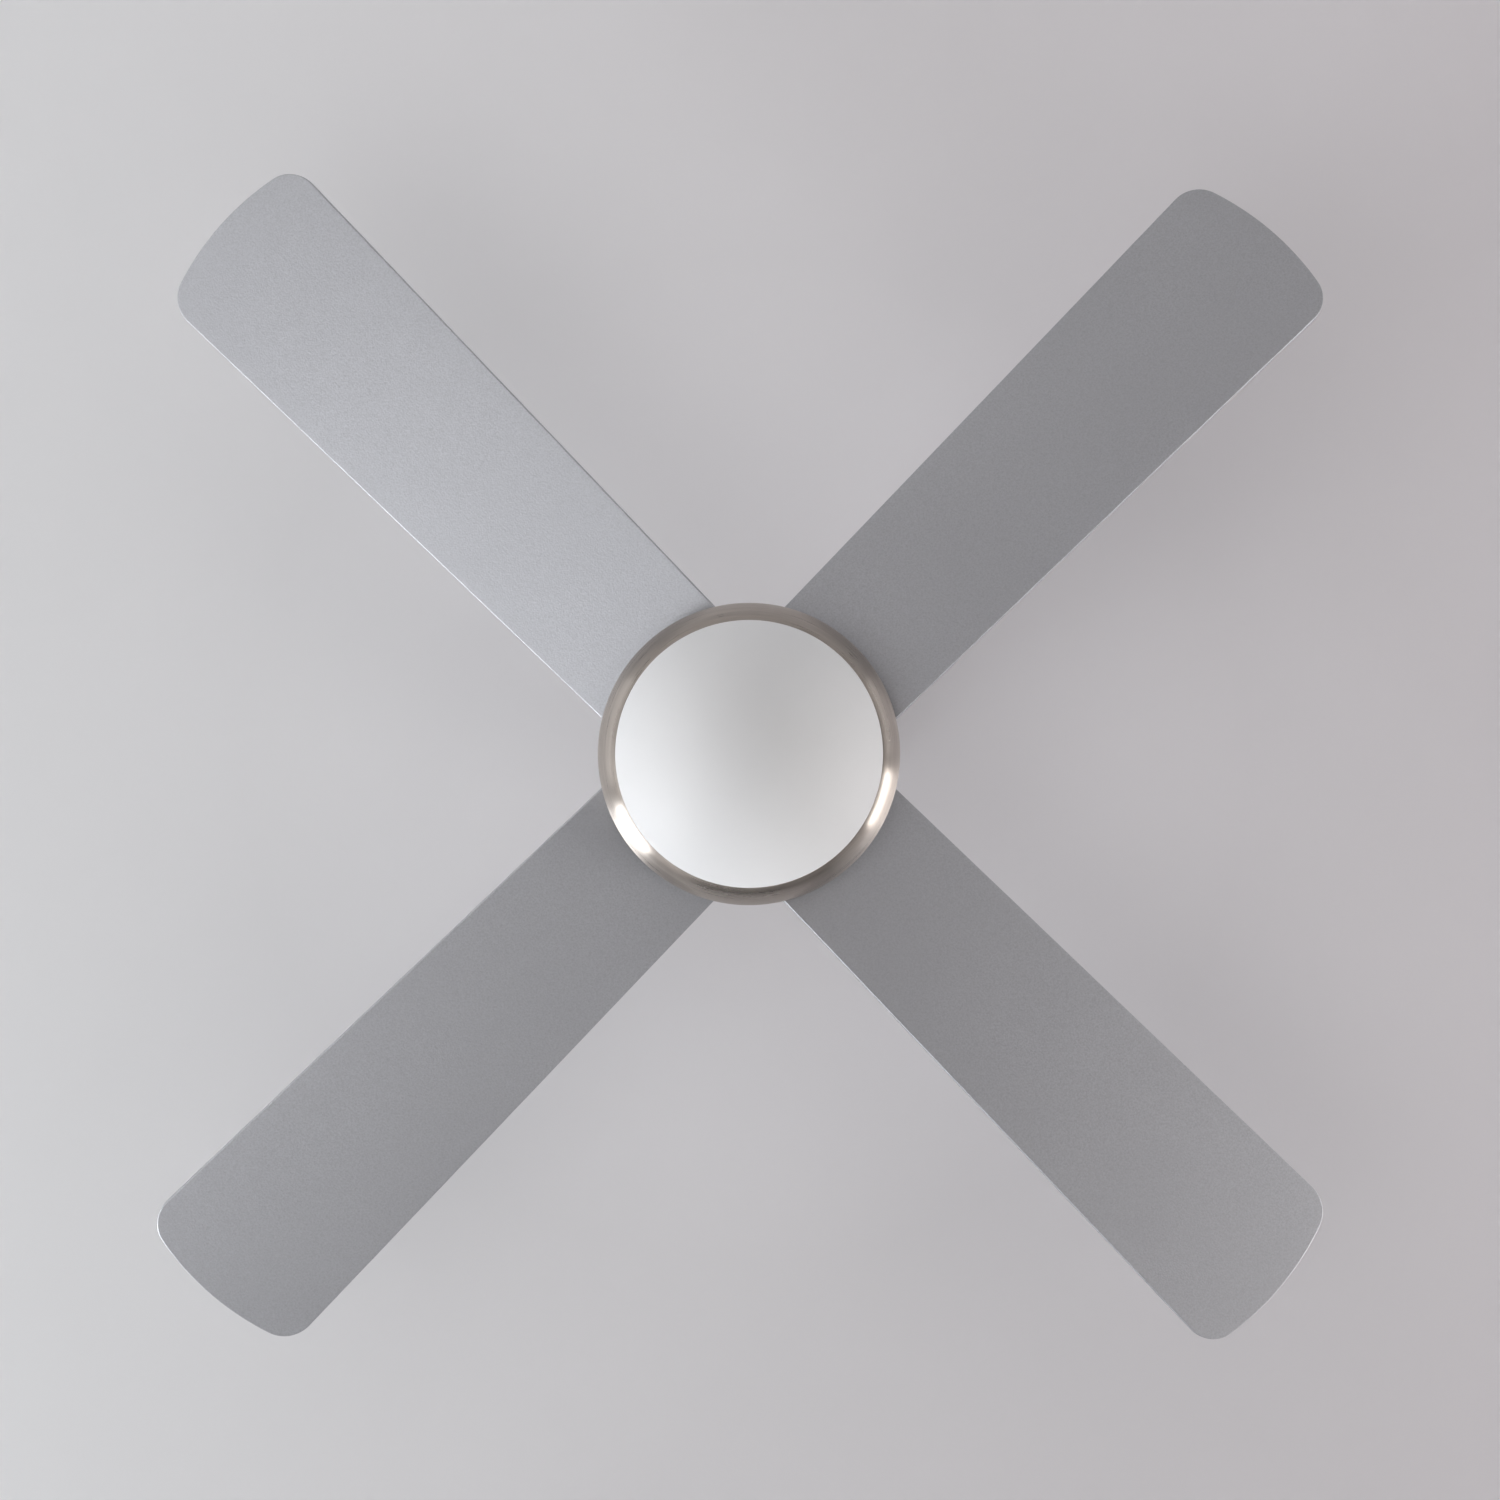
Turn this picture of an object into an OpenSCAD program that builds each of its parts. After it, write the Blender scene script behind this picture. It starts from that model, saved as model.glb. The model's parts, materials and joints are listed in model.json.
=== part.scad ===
// Ceiling fan with light. Four pitched blades turn between a fixed upper housing and a fixed
// nickel bowl, and the bowl carries an opal glass shade.
// The origin is on the fan axis in the ceiling plane. +Z is up, so the fan hangs towards -Z.

/* [Blades] */
// Diameter of the circle that the blade tips sweep
sweep_d = 1320; // [1100:10:1420]
// Width of a blade at its inner end
blade_root_w = 141.5; // [120:0.5:142]
// Width of a blade where its sides would meet the tip circle
blade_tip_w = 168.5; // [130:0.5:190]
// Thickness of a blade
blade_t = 6; // [5:0.5:6]
// Angle of a blade to the horizontal
blade_pitch = 12; // [6:1:12]
// Radius of the curved end of a blade
tip_arc_r = 257; // [200:1:400]
// Radius of the two corners at the end of a blade
tip_corner_r = 28; // [10:1:40]

/* [Hanger and canopy] */
// Distance between the two screws that hold the hanger bracket to the ceiling box
box_screw_span = 88.9; // [86:0.1:90]
// Diameter of the two ceiling screw holes
box_hole_d = 5.5; // [4.5:0.1:6]
// Outer radius of the canopy
canopy_r = 75; // [75:1:90]
// Height of the canopy
canopy_h = 64; // [63:0.5:66]
// Radius of the hanger ball
ball_r = 30; // [29.5:0.5:30]
// Length of the downrod
rod_len = 125; // [115:5:600]
// Outer radius of the downrod
rod_r = 10.5; // [10:0.1:10.5]

/* [Motor and upper housing] */
// Outer radius of the upper housing
housing_r = 126; // [124:1:130]
// Height of the domed shoulder of the upper housing
housing_shoulder_h = 38; // [34:1:42]
// Number of slots in the stator core
stator_slots = 16; // [12:1:18]
// Number of balls in each bearing
bearing_balls = 8; // [6:1:9]
// Thickness of the pressed sheet of the housings and the canopy
sheet_t = 1.5; // [1:0.1:1.5]

/* [Light] */
// Outer radius of the nickel bowl at its rim
bowl_r = 131; // [129:0.5:134]
// Height of the nickel bowl from its rim to its lip
bowl_h = 46; // [44:0.5:50]
// Radius of the glass shade at its widest
glass_r = 113.2; // [112.6:0.1:113.4]
// Thickness of the glass
glass_t = 3; // [2.5:0.1:3]
// Depth of the glass dome below its widest line
dome_depth = 58; // [54:1:80]
// Radius of the rolled shoulder of the glass
glass_roll_r = 6; // [5:0.1:6]

/* [Hidden] */

$fn = 96;
eps = 0.01;
run_gap = 0.05;
body_gap = 0.3;

// Levels down the fan axis
ball_z = -34;
rod_top_z = ball_z + 12;
rod_bottom_z = rod_top_z - rod_len;
yoke_top_z = rod_bottom_z + 21;
clevis_z = rod_bottom_z + 9;
flange_top_z = rod_bottom_z - 7;
flange_t = 6;
housing_top_z = flange_top_z - flange_t;
motor_z = housing_top_z - 41;
housing_wall_h = 16;
housing_rim_z = housing_top_z - housing_shoulder_h - housing_wall_h;
blade_z = motor_z - 35;
bowl_rim_z = blade_z - 22;
bowl_lip_z = bowl_rim_z - bowl_h;
plate_top_z = bowl_rim_z - 2;
pan_top_z = bowl_lip_z + 12;
glass_wide_z = bowl_lip_z - glass_roll_r;
lamp_z = glass_wide_z - 10;

// Hanger
plate_t = 2.5;
plate_w = 40;
ear_x = canopy_r - 5;
ear_w = 24;
ear_drop = 22;
canopy_screw_z = -14;
canopy_screw_r = 2;
cradle_x = 36.5;
cradle_w = 32;
seat_top_z = ball_z - 8;
seat_bottom_z = ball_z - 18;
cable_hole_r = 12;
tab_w = 4;
tab_depth = 3;
terminal_size = [16, 40, 9];
terminal_pitch = 12;
terminal_screw_r = 1.6;
canopy_rim_gap = 1;
canopy_hole_r = 17;
canopy_wall_h = 23;

// Rod and yoke
rod_t = 2;
pin_r = 3;
yoke_r = 15.5;
yoke_flange_r = 30;
yoke_bottom_z = housing_top_z - 6;
housing_screw_r = 2;
housing_screw_ring = 23;
cover_r = 34;
wire_r = 1.1;

// Motor
shaft_r = 8.5;
shaft_bore_r = 6;
shaft_shoulder_r = 11;
core_seat_r = 14;
core_half_h = 11.5;
core_r = 64;
air_gap = 0.6;
bearing_r = 20;
bearing_w = 12;
bearing_mid = 19;
bearing_ball_r = 2.4;
bearing_pitch_r = 14.25;
rotor_r = 86;
rotor_half_h = 27;
rotor_wall = 4;
rotor_ear_r = 7;
rotor_ear_h = 8;
rotor_ear_ring = 91;
rotor_screw_r = 2;
rotor_ear_count = 4;
screw_r = 2.5;

// Blades and arms
blade_count = 4;
blade_first_angle = 45;
blade_root_r = 94;
root_corner_r = 8;
arm_t = 3.5;
arm_tab = [34, 87, 40];
arm_paddle = [93, 128, 56];
arm_screw_places = [[48, 12], [72, -12], [48, -12], [72, 12]];
blade_screw_places = [[103, 18], [103, -18], [119, 0]];
washer_t = 1;
washer_r = 6;

// Light
mounting_r = 104;
mounting_t = 2;
nut_t = 6;
nut_flats = 24;
spacer_ring = 96;
spacer_count = 3;
spacer_first_angle = 90;
spacer_r = 4;
small_screw_r = 2;
flange_inner_r = 88;
lip_r = 114.1;
rim_band_h = 4;
pan_t = 2;
pan_r = 111.5;
skirt_bottom_z = bowl_lip_z + 1;
skirt_t = 1.5;
lug_count = 3;
lug_angle = 24;
hook_angle = 30;
neck_r = 105;
glass_ring_r = 107;
holder_r = 17;
holder_x = 7.5;
holder_len = 32;
cap_r = 13;
bulb_r = 22.5;
bulb_x = 66;

// Reverse switch, on the -Y side of the upper housing
switch_z = housing_rim_z + 8;
switch_size = [22, 10, 10];
switch_face_y = -(housing_r - sheet_t - 0.8);
slot_half = 5.2;
slider_w = 5;
slider_travel = 4;

// Colours
nickel = [0.66, 0.62, 0.58];
silver_paint = [0.67, 0.68, 0.71];
zinc = [0.72, 0.73, 0.74];
steel = [0.55, 0.56, 0.58];
cast_metal = [0.62, 0.63, 0.64];
copper = [0.72, 0.42, 0.22];
opal = [0.93, 0.94, 0.95];
white_plastic = [0.92, 0.92, 0.9];
black_plastic = [0.12, 0.12, 0.13];

// ---- Shared shapes ----

// Points along an arc about c, from angle a0 to a1
function arc(c, r, a0, a1, n = 16) = [
    for (i = [0:n])
        let (a = a0 + (a1 - a0) * i / n)
            [c[0] + r * cos(a), c[1] + r * sin(a)]
];

// Points along an arc of an ellipse about c
function oval(c, rx, ry, a0, a1, n = 24) = [
    for (i = [0:n])
        let (a = a0 + (a1 - a0) * i / n)
            [c[0] + rx * cos(a), c[1] + ry * sin(a)]
];

// A tube wall between two radii and two heights
module ring(r_in, r_out, z_low, z_high) {
    rotate_extrude()
        translate([r_in, z_low])
            square([r_out - r_in, z_high - z_low]);
}

// A round bar on the Z axis between two heights
module bar(r, z_low, z_high) {
    translate([0, 0, z_low])
        cylinder(h = z_high - z_low, r = r);
}

// Copies of a shape at even angles about the fan axis
module around(count, first = 0) {
    for (i = [0:count - 1])
        rotate(first + i * 360 / count)
            children();
}

// A cross-head screw: the head sits on z = 0 and the shank points down
module cross_screw(r, len) {
    head_r = 1.9 * r;
    head_h = 1.2 * r;
    difference() {
        union() {
            cylinder(h = head_h / 2, r = head_r);
            translate([0, 0, head_h / 2])
                cylinder(h = head_h / 2, r1 = head_r, r2 = 0.6 * head_r);
            bar(r, -len, eps);
        }
        for (a = [0, 90])
            rotate(a)
                translate([-0.5 * head_r, -0.15 * r, head_h / 2])
                    cube([head_r, 0.3 * r, head_h]);
    }
}

// A headless set screw on the Z axis, with a hexagon socket in its upper end
module set_screw(r, len) {
    difference() {
        cylinder(h = len, r = r);
        translate([0, 0, len / 2])
            cylinder(h = len, r = r / 2, $fn = 6);
    }
}

// ---- Hanger and canopy ----

module ball_body(r) {
    translate([0, 0, ball_z])
        sphere(r);
}

module hanger_bracket() {
    color(zinc)
        difference() {
            union() {
                translate([-ear_x, -plate_w / 2, -plate_t])
                    cube([2 * ear_x, plate_w, plate_t]);
                for (side = [-1, 1]) {
                    translate([side * (ear_x - plate_t / 2) - plate_t / 2, -ear_w / 2, -ear_drop])
                        cube([plate_t, ear_w, ear_drop - eps]);
                    translate([side * (cradle_x - plate_t / 2) - plate_t / 2, -cradle_w / 2, seat_top_z - eps])
                        cube([plate_t, cradle_w, -seat_top_z]);
                }
                bar(cradle_x, seat_bottom_z, seat_top_z);
            }
            bracket_cuts();
        }
    color(zinc)
        anti_turn_tab();
}

module bracket_cuts() {
    rod_slot_w = 2 * rod_r + 3;
    for (side = [-1, 1]) {
        translate([side * box_screw_span / 2, 0, -plate_t - eps])
            cylinder(h = plate_t + 2 * eps, d = box_hole_d);
        translate([side * (ear_x - plate_t / 2), 0, canopy_screw_z])
            rotate([0, 90, 0])
                cylinder(h = 2 * plate_t, r = canopy_screw_r + run_gap, center = true);
    }
    bar(cable_hole_r, -plate_t - eps, eps);
    ball_body(ball_r + body_gap);
    translate([-rod_slot_w / 2, 0, seat_bottom_z - eps])
        cube([rod_slot_w, cradle_x + eps, seat_top_z - seat_bottom_z + 2 * eps]);
    bar(ball_r - 4, seat_bottom_z - eps, seat_bottom_z + 1);
}

// The tab that stops the ball from turning in its seat
module anti_turn_tab() {
    difference() {
        translate([-tab_w / 2, -cradle_x + 3, seat_bottom_z + 1.5])
            cube([tab_w, cradle_x - 3, seat_top_z - seat_bottom_z - 1.5]);
        ball_body(ball_r - tab_depth);
    }
}

module terminal_block() {
    color(white_plastic)
        translate([-ear_x + plate_t + 0.5, -terminal_size[1] / 2, -plate_t - terminal_size[2]])
            difference() {
                cube(terminal_size);
                for (i = [-1:1]) {
                    translate([terminal_size[0] / 2, terminal_size[1] / 2 + i * terminal_pitch, 0]) {
                        bar(terminal_screw_r + run_gap, -eps, terminal_size[2] / 2);
                        translate([-terminal_size[0] / 2 - 1, -2.4, terminal_size[2] / 2 - eps])
                            cube([terminal_size[0] + 2, 4.8, 3]);
                    }
                }
            }
}

module terminal_screws() {
    color(steel)
        for (i = [-1:1])
            translate([-ear_x + plate_t + 0.5 + terminal_size[0] / 2, i * terminal_pitch,
                       -plate_t - terminal_size[2] / 2 - 0.3])
                rotate([180, 0, 0])
                    set_screw(terminal_screw_r, 3.2);
}

module canopy() {
    inner_r = canopy_r - sheet_t;
    shoulder_z = -canopy_rim_gap - canopy_wall_h;
    oval_rx = canopy_r - 20;
    oval_ry = canopy_h + shoulder_z;
    color(nickel)
        difference() {
            rotate_extrude()
                polygon(concat(
                    [[canopy_r, -canopy_rim_gap]],
                    oval([20, shoulder_z], oval_rx, oval_ry, 0, -90),
                    [[canopy_hole_r, -canopy_h], [canopy_hole_r, -canopy_h + sheet_t]],
                    oval([20, shoulder_z], oval_rx - sheet_t, oval_ry - sheet_t, -90, 0),
                    [[inner_r, -canopy_rim_gap]]
                ));
            for (side = [0, 180])
                rotate(side)
                    translate([inner_r - 2, 0, canopy_screw_z])
                        rotate([0, 90, 0])
                            cylinder(h = sheet_t + 4, r = canopy_screw_r + 0.3);
        }
}

module canopy_screws() {
    color(nickel)
        for (side = [0, 180])
            rotate(side)
                translate([canopy_r + run_gap, 0, canopy_screw_z])
                    rotate([0, 90, 0])
                        cross_screw(canopy_screw_r, 10);
}

module canopy_ring() {
    color(nickel)
        rotate_extrude()
            polygon(concat(
                [[canopy_hole_r - 0.5, -canopy_h - run_gap], [canopy_hole_r - 0.5, -canopy_h - 3]],
                arc([canopy_hole_r + 4, -canopy_h - run_gap], 3, -90, 0, 8)
            ));
}

// ---- Hanging parts ----

module hanger_ball() {
    top_z = ball_z + 8;
    bottom_z = ball_z - 26;
    color(black_plastic)
        difference() {
            intersection() {
                ball_body(ball_r);
                bar(ball_r, bottom_z, top_z);
            }
            bar(rod_r + run_gap, bottom_z - eps, top_z + eps);
            translate([-20, -pin_r - 0.1, ball_z + 3])
                cube([40, 2 * pin_r + 0.2, 6]);
            difference() {
                translate([-tab_w / 2 - 0.6, -ball_r - 1, bottom_z - 1])
                    cube([tab_w + 1.2, ball_r, top_z - bottom_z + 2]);
                ball_body(ball_r - tab_depth - 0.5);
            }
            translate([0, 0, ball_z - 4])
                rotate([-90, 0, 0])
                    cylinder(h = ball_r + 1, r = screw_r + run_gap);
        }
}

module ball_pin() {
    color(steel)
        translate([0, 0, ball_z + 6 + run_gap])
            rotate([0, 90, 0])
                cylinder(h = 38, r = pin_r, center = true);
}

module ball_set_screw() {
    color(steel)
        translate([0, rod_r + 2 * run_gap, ball_z - 4])
            rotate([-90, 0, 0])
                set_screw(screw_r, 12);
}

module downrod() {
    color(nickel)
        difference() {
            ring(rod_r - rod_t, rod_r, rod_bottom_z, rod_top_z);
            for (z = [ball_z + 6 + run_gap, clevis_z])
                translate([0, 0, z])
                    rotate([0, 90, 0])
                        cylinder(h = 2 * rod_r + 2, r = pin_r + run_gap, center = true);
        }
}

module supply_wires() {
    colours = ["saddlebrown", "steelblue", "dimgray", "yellowgreen"];
    places = [[-1.2, 4.45], [1.2, 4.45], [-1.2, -4.45], [1.2, -4.45]];
    for (i = [0:3])
        color(colours[i])
            translate([places[i][0], places[i][1], 0])
                bar(wire_r, plate_top_z - 16, rod_top_z + 8);
}

module yoke() {
    color(cast_metal)
        difference() {
            union() {
                bar(yoke_r, yoke_bottom_z, yoke_top_z);
                bar(yoke_flange_r, housing_top_z, flange_top_z);
            }
            bar(rod_r + run_gap, rod_bottom_z - 0.2, yoke_top_z + eps);
            bar(shaft_r + run_gap, yoke_bottom_z - eps, rod_bottom_z);
            translate([0, 0, clevis_z])
                rotate([0, 90, 0])
                    cylinder(h = 2 * yoke_r + 2, r = pin_r + run_gap, center = true);
            for (side = [-1, 1])
                translate([0, 0, yoke_top_z - 6])
                    rotate([side * 90, 0, 0])
                        cylinder(h = yoke_r + 1, r = screw_r + run_gap);
            around(3)
                translate([housing_screw_ring, 0, 0])
                    bar(housing_screw_r + 0.2, housing_top_z - eps, flange_top_z + eps);
        }
}

module clevis_pin() {
    half = yoke_r + 4.5;
    color(steel)
        difference() {
            translate([0, 0, clevis_z])
                rotate([0, 90, 0]) {
                    cylinder(h = 2 * half, r = pin_r, center = true);
                    translate([0, 0, -half - 2])
                        cylinder(h = 2, r = pin_r + 2);
                }
            translate([half - 2.5, 0, clevis_z])
                rotate([90, 0, 0])
                    cylinder(h = 3 * pin_r, r = 1.05, center = true);
        }
}

// A hairpin clip: one straight leg through the clevis pin, one beside it, and a round bow
module clevis_clip() {
    leg_x = yoke_r + 2;
    leg_half = 7;
    wire = 0.9;
    bow_r = (pin_r + wire + 0.2) / 2;
    color(steel)
        translate([leg_x, 0, clevis_z]) {
            for (z = [0, -2 * bow_r])
                translate([0, 0, z])
                    rotate([90, 0, 0])
                        cylinder(h = 2 * leg_half, r = wire, center = true);
            translate([0, leg_half, -bow_r])
                rotate([0, 90, 0])
                    rotate_extrude(angle = 180)
                        translate([bow_r, 0])
                            circle(r = wire);
        }
}

module yoke_set_screws() {
    color(steel)
        for (side = [-1, 1])
            translate([0, -side * (rod_r + 2 * run_gap), yoke_top_z - 6])
                rotate([side * 90, 0, 0])
                    set_screw(screw_r, 6);
}

module yoke_cover() {
    oval_c = [12, housing_top_z + 10];
    oval_rx = cover_r - oval_c[0];
    oval_ry = yoke_top_z + 4 - oval_c[1];
    color(nickel)
        rotate_extrude()
            polygon(concat(
                [[cover_r, housing_top_z + run_gap]],
                oval(oval_c, oval_rx, oval_ry, 0, 90),
                [[rod_r + 0.6, yoke_top_z + 4], [rod_r + 0.6, yoke_top_z + 4 - sheet_t]],
                oval(oval_c, oval_rx - sheet_t, oval_ry - sheet_t, 90, 0),
                [[cover_r - sheet_t, housing_top_z + run_gap]]
            ));
}

module upper_housing() {
    top_z = housing_top_z - run_gap;
    shoulder_z = housing_top_z - housing_shoulder_h;
    flat_r = 44;
    oval_rx = housing_r - flat_r;
    oval_ry = top_z - shoulder_z;
    color(nickel)
        difference() {
            rotate_extrude()
                polygon(concat(
                    [[yoke_r + 1.5, top_z]],
                    oval([flat_r, shoulder_z], oval_rx, oval_ry, 90, 0),
                    [[housing_r, housing_rim_z], [housing_r - sheet_t, housing_rim_z]],
                    oval([flat_r, shoulder_z], oval_rx - sheet_t, oval_ry - sheet_t, 0, 90),
                    [[yoke_r + 1.5, top_z - sheet_t]]
                ));
            around(3)
                translate([housing_screw_ring, 0, 0])
                    bar(housing_screw_r + run_gap, top_z - sheet_t - eps, top_z + eps);
            translate([-slot_half, -housing_r - 1, switch_z - 2.6])
                cube([2 * slot_half, 4, 5.2]);
            for (side = [-1, 1])
                translate([side * 8.5, -housing_r + 3, switch_z])
                    rotate([90, 0, 0])
                        cylinder(h = 6, r = 1.4);
        }
}

module housing_screws() {
    color(steel)
        around(3)
            translate([housing_screw_ring, 0, flange_top_z + run_gap])
                cross_screw(housing_screw_r, 11);
}

module reverse_switch_body() {
    color(black_plastic)
        difference() {
            translate([-switch_size[0] / 2, switch_face_y, switch_z - switch_size[2] / 2])
                cube(switch_size);
            translate([-slot_half, switch_face_y - eps, switch_z - 2.6])
                cube([2 * slot_half, 7, 5.2]);
            for (side = [-1, 1])
                translate([side * 8.5, switch_face_y + 8, switch_z])
                    rotate([90, 0, 0])
                        cylinder(h = 9, r = 1.25 + run_gap);
        }
}

module reverse_switch_slider() {
    color(white_plastic) {
        translate([-slider_travel / 2 - slider_w / 2, -housing_r - 2.4, switch_z - 2.2])
            cube([slider_w, 2.4 + housing_r + switch_face_y + 6, 4.4]);
    }
}

module reverse_switch_screws() {
    color(steel)
        for (side = [-1, 1])
            translate([side * 8.5, -housing_r + 0.1, switch_z])
                rotate([90, 0, 0])
                    cross_screw(1.25, 8);
}

// ---- Motor ----

module motor_shaft() {
    color(steel)
        difference() {
            union() {
                bar(shaft_r, plate_top_z - mounting_t - nut_t - 4, rod_bottom_z - 1);
                bar(shaft_shoulder_r, motor_z - bearing_mid + bearing_w / 2, motor_z + bearing_mid - bearing_w / 2);
                bar(core_seat_r, motor_z - core_half_h, motor_z + core_half_h);
                bar(shaft_shoulder_r, plate_top_z, motor_z - rotor_half_h - 2);
            }
            bar(shaft_bore_r, plate_top_z - 20, rod_bottom_z);
            translate([0, 0, yoke_bottom_z - 3])
                rotate([90, 0, 0])
                    cylinder(h = 2 * shaft_r + 2, r = 2, center = true);
        }
}

module stator_core() {
    color(steel)
        translate([0, 0, motor_z - core_half_h])
            linear_extrude(2 * core_half_h)
                difference() {
                    circle(core_r);
                    circle(core_seat_r + run_gap);
                    around(stator_slots) {
                        translate([43, -5])
                            square([14, 10]);
                        translate([56, -1.5])
                            square([10, 3]);
                    }
                }
}

module stator_windings() {
    coil_mid_r = 50;
    coil_half = 6.6;
    end_z = core_half_h + 0.3;
    color(copper)
        translate([0, 0, motor_z]) {
            around(stator_slots)
                translate([coil_mid_r - coil_half, -4.6, -end_z - 1])
                    cube([2 * coil_half, 9.2, 2 * end_z + 2]);
            for (side = [0, 1])
                mirror([0, 0, side])
                    rotate_extrude()
                        translate([coil_mid_r, end_z])
                            intersection() {
                                circle(r = 7.5, $fn = 48);
                                translate([-coil_half, 0])
                                    square([2 * coil_half, 9]);
                            }
        }
}

// One ring of a ball bearing, with half of the ball groove cut into it
module bearing_ring(r_in, r_out, side) {
    color(zinc)
        translate([0, 0, motor_z + side * bearing_mid])
            rotate_extrude()
                difference() {
                    translate([r_in, -bearing_w / 2])
                        square([r_out - r_in, bearing_w]);
                    translate([bearing_pitch_r, 0])
                        circle(r = bearing_ball_r + 0.1, $fn = 48);
                }
}

module bearing_inner_ring(side) {
    bearing_ring(shaft_r + run_gap, 12, side);
}

module bearing_outer_ring(side) {
    bearing_ring(16.5, bearing_r - run_gap, side);
}

module bearing_ball_set(side) {
    color(steel)
        around(bearing_balls)
            translate([bearing_pitch_r, 0, motor_z + side * bearing_mid])
                sphere(bearing_ball_r, $fn = 48);
}

module rotor_ring() {
    color(steel)
        ring(core_r + air_gap, rotor_r - rotor_wall - run_gap, motor_z - core_half_h, motor_z + core_half_h);
}

// Half of the motor casing, open side down, with its parting face at z = 0
module rotor_half() {
    boss_low = bearing_mid - bearing_w / 2 + 0.2;
    rotate_extrude() {
        translate([bearing_r, rotor_half_h - rotor_wall])
            square([rotor_r - bearing_r, rotor_wall]);
        translate([rotor_r - rotor_wall, run_gap])
            square([rotor_wall, rotor_half_h - run_gap]);
        translate([bearing_r, boss_low])
            square([rotor_wall, rotor_half_h - boss_low]);
        translate([bearing_r - 2.5, rotor_half_h - 2 + run_gap])
            square([rotor_wall, 2 - run_gap]);
    }
    around(rotor_ear_count)
        intersection() {
            union() {
                translate([rotor_ear_ring, 0, 0])
                    bar(rotor_ear_r, run_gap, rotor_ear_h);
                translate([rotor_r - 2, -rotor_ear_r, run_gap])
                    cube([rotor_ear_ring - rotor_r + 2, 2 * rotor_ear_r, rotor_ear_h - run_gap]);
            }
            ring(rotor_r - 1, rotor_r + 20, 0, rotor_ear_h);
        }
}

module ear_holes(r) {
    around(rotor_ear_count)
        translate([rotor_ear_ring, 0, 0])
            bar(r, -rotor_ear_h - 1, rotor_ear_h + 1);
}

module rotor_top_shell() {
    color(cast_metal)
        translate([0, 0, motor_z])
            difference() {
                rotor_half();
                ear_holes(rotor_screw_r + 0.2);
                around(12, 15)
                    translate([56, 0, 0])
                        bar(5, rotor_half_h - rotor_wall - 1, rotor_half_h + 1);
            }
}

module rotor_bottom_shell() {
    color(cast_metal)
        translate([0, 0, motor_z])
            difference() {
                mirror([0, 0, 1])
                    rotor_half();
                ear_holes(rotor_screw_r + run_gap);
                around(blade_count, blade_first_angle)
                    for (p = arm_screw_places)
                        translate([p[0], p[1], 0])
                            bar(screw_r + run_gap, -rotor_half_h - 1, -rotor_half_h + rotor_wall + 1);
            }
}

module rotor_screws() {
    color(steel)
        around(rotor_ear_count)
            translate([rotor_ear_ring, 0, motor_z + rotor_ear_h + run_gap])
                cross_screw(rotor_screw_r, 2 * rotor_ear_h);
}

// ---- Blades ----

// Half width of a blade at radius s: the sides are straight and open outwards
root_half = blade_root_w / 2;
side_slope = (blade_tip_w - blade_root_w) / 2 / (sweep_d / 2 - blade_root_r);
function half_width(s) = root_half + side_slope * (s - blade_root_r);

// Centre of the corner circle that touches both the side and the end arc
tip_c = sweep_d / 2 - tip_arc_r;
side_norm = sqrt(1 + side_slope * side_slope);
inset_at_zero = half_width(0) - tip_corner_r * side_norm;
quad_a = side_norm * side_norm;
quad_b = 2 * (inset_at_zero * side_slope - tip_c);
quad_c = tip_c * tip_c + inset_at_zero * inset_at_zero - pow(tip_arc_r - tip_corner_r, 2);
corner_s = (-quad_b + sqrt(quad_b * quad_b - 4 * quad_a * quad_c)) / (2 * quad_a);
corner_v = inset_at_zero + side_slope * corner_s;
side_angle = 90 + atan(side_slope);
end_angle = atan2(corner_v, corner_s - tip_c);

module blade_outline() {
    root_c = [blade_root_r + root_corner_r, root_half - root_corner_r];
    polygon(concat(
        arc([root_c[0], -root_c[1]], root_corner_r, 180, 270, 8),
        arc([corner_s, -corner_v], tip_corner_r, -side_angle, -end_angle, 12),
        arc([tip_c, 0], tip_arc_r, -end_angle, end_angle, 32),
        arc([corner_s, corner_v], tip_corner_r, end_angle, side_angle, 12),
        arc(root_c, root_corner_r, 90, 180, 8)
    ));
}

// Puts a shape drawn along +X, level, into the pitched plane of one blade
module at_blade(i) {
    rotate(blade_first_angle + (i - 1) * 360 / blade_count)
        translate([0, 0, blade_z])
            rotate([-blade_pitch, 0, 0])
                children();
}

module at_arm(i) {
    rotate(blade_first_angle + (i - 1) * 360 / blade_count)
        translate([0, 0, motor_z - rotor_half_h - run_gap])
            children();
}

module blade(i) {
    color(silver_paint)
        at_blade(i)
            difference() {
                translate([0, 0, -blade_t / 2])
                    linear_extrude(blade_t)
                        blade_outline();
                for (p = blade_screw_places)
                    translate([p[0], p[1], 0])
                        bar(screw_r + 0.25, -blade_t, blade_t);
            }
}

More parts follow.
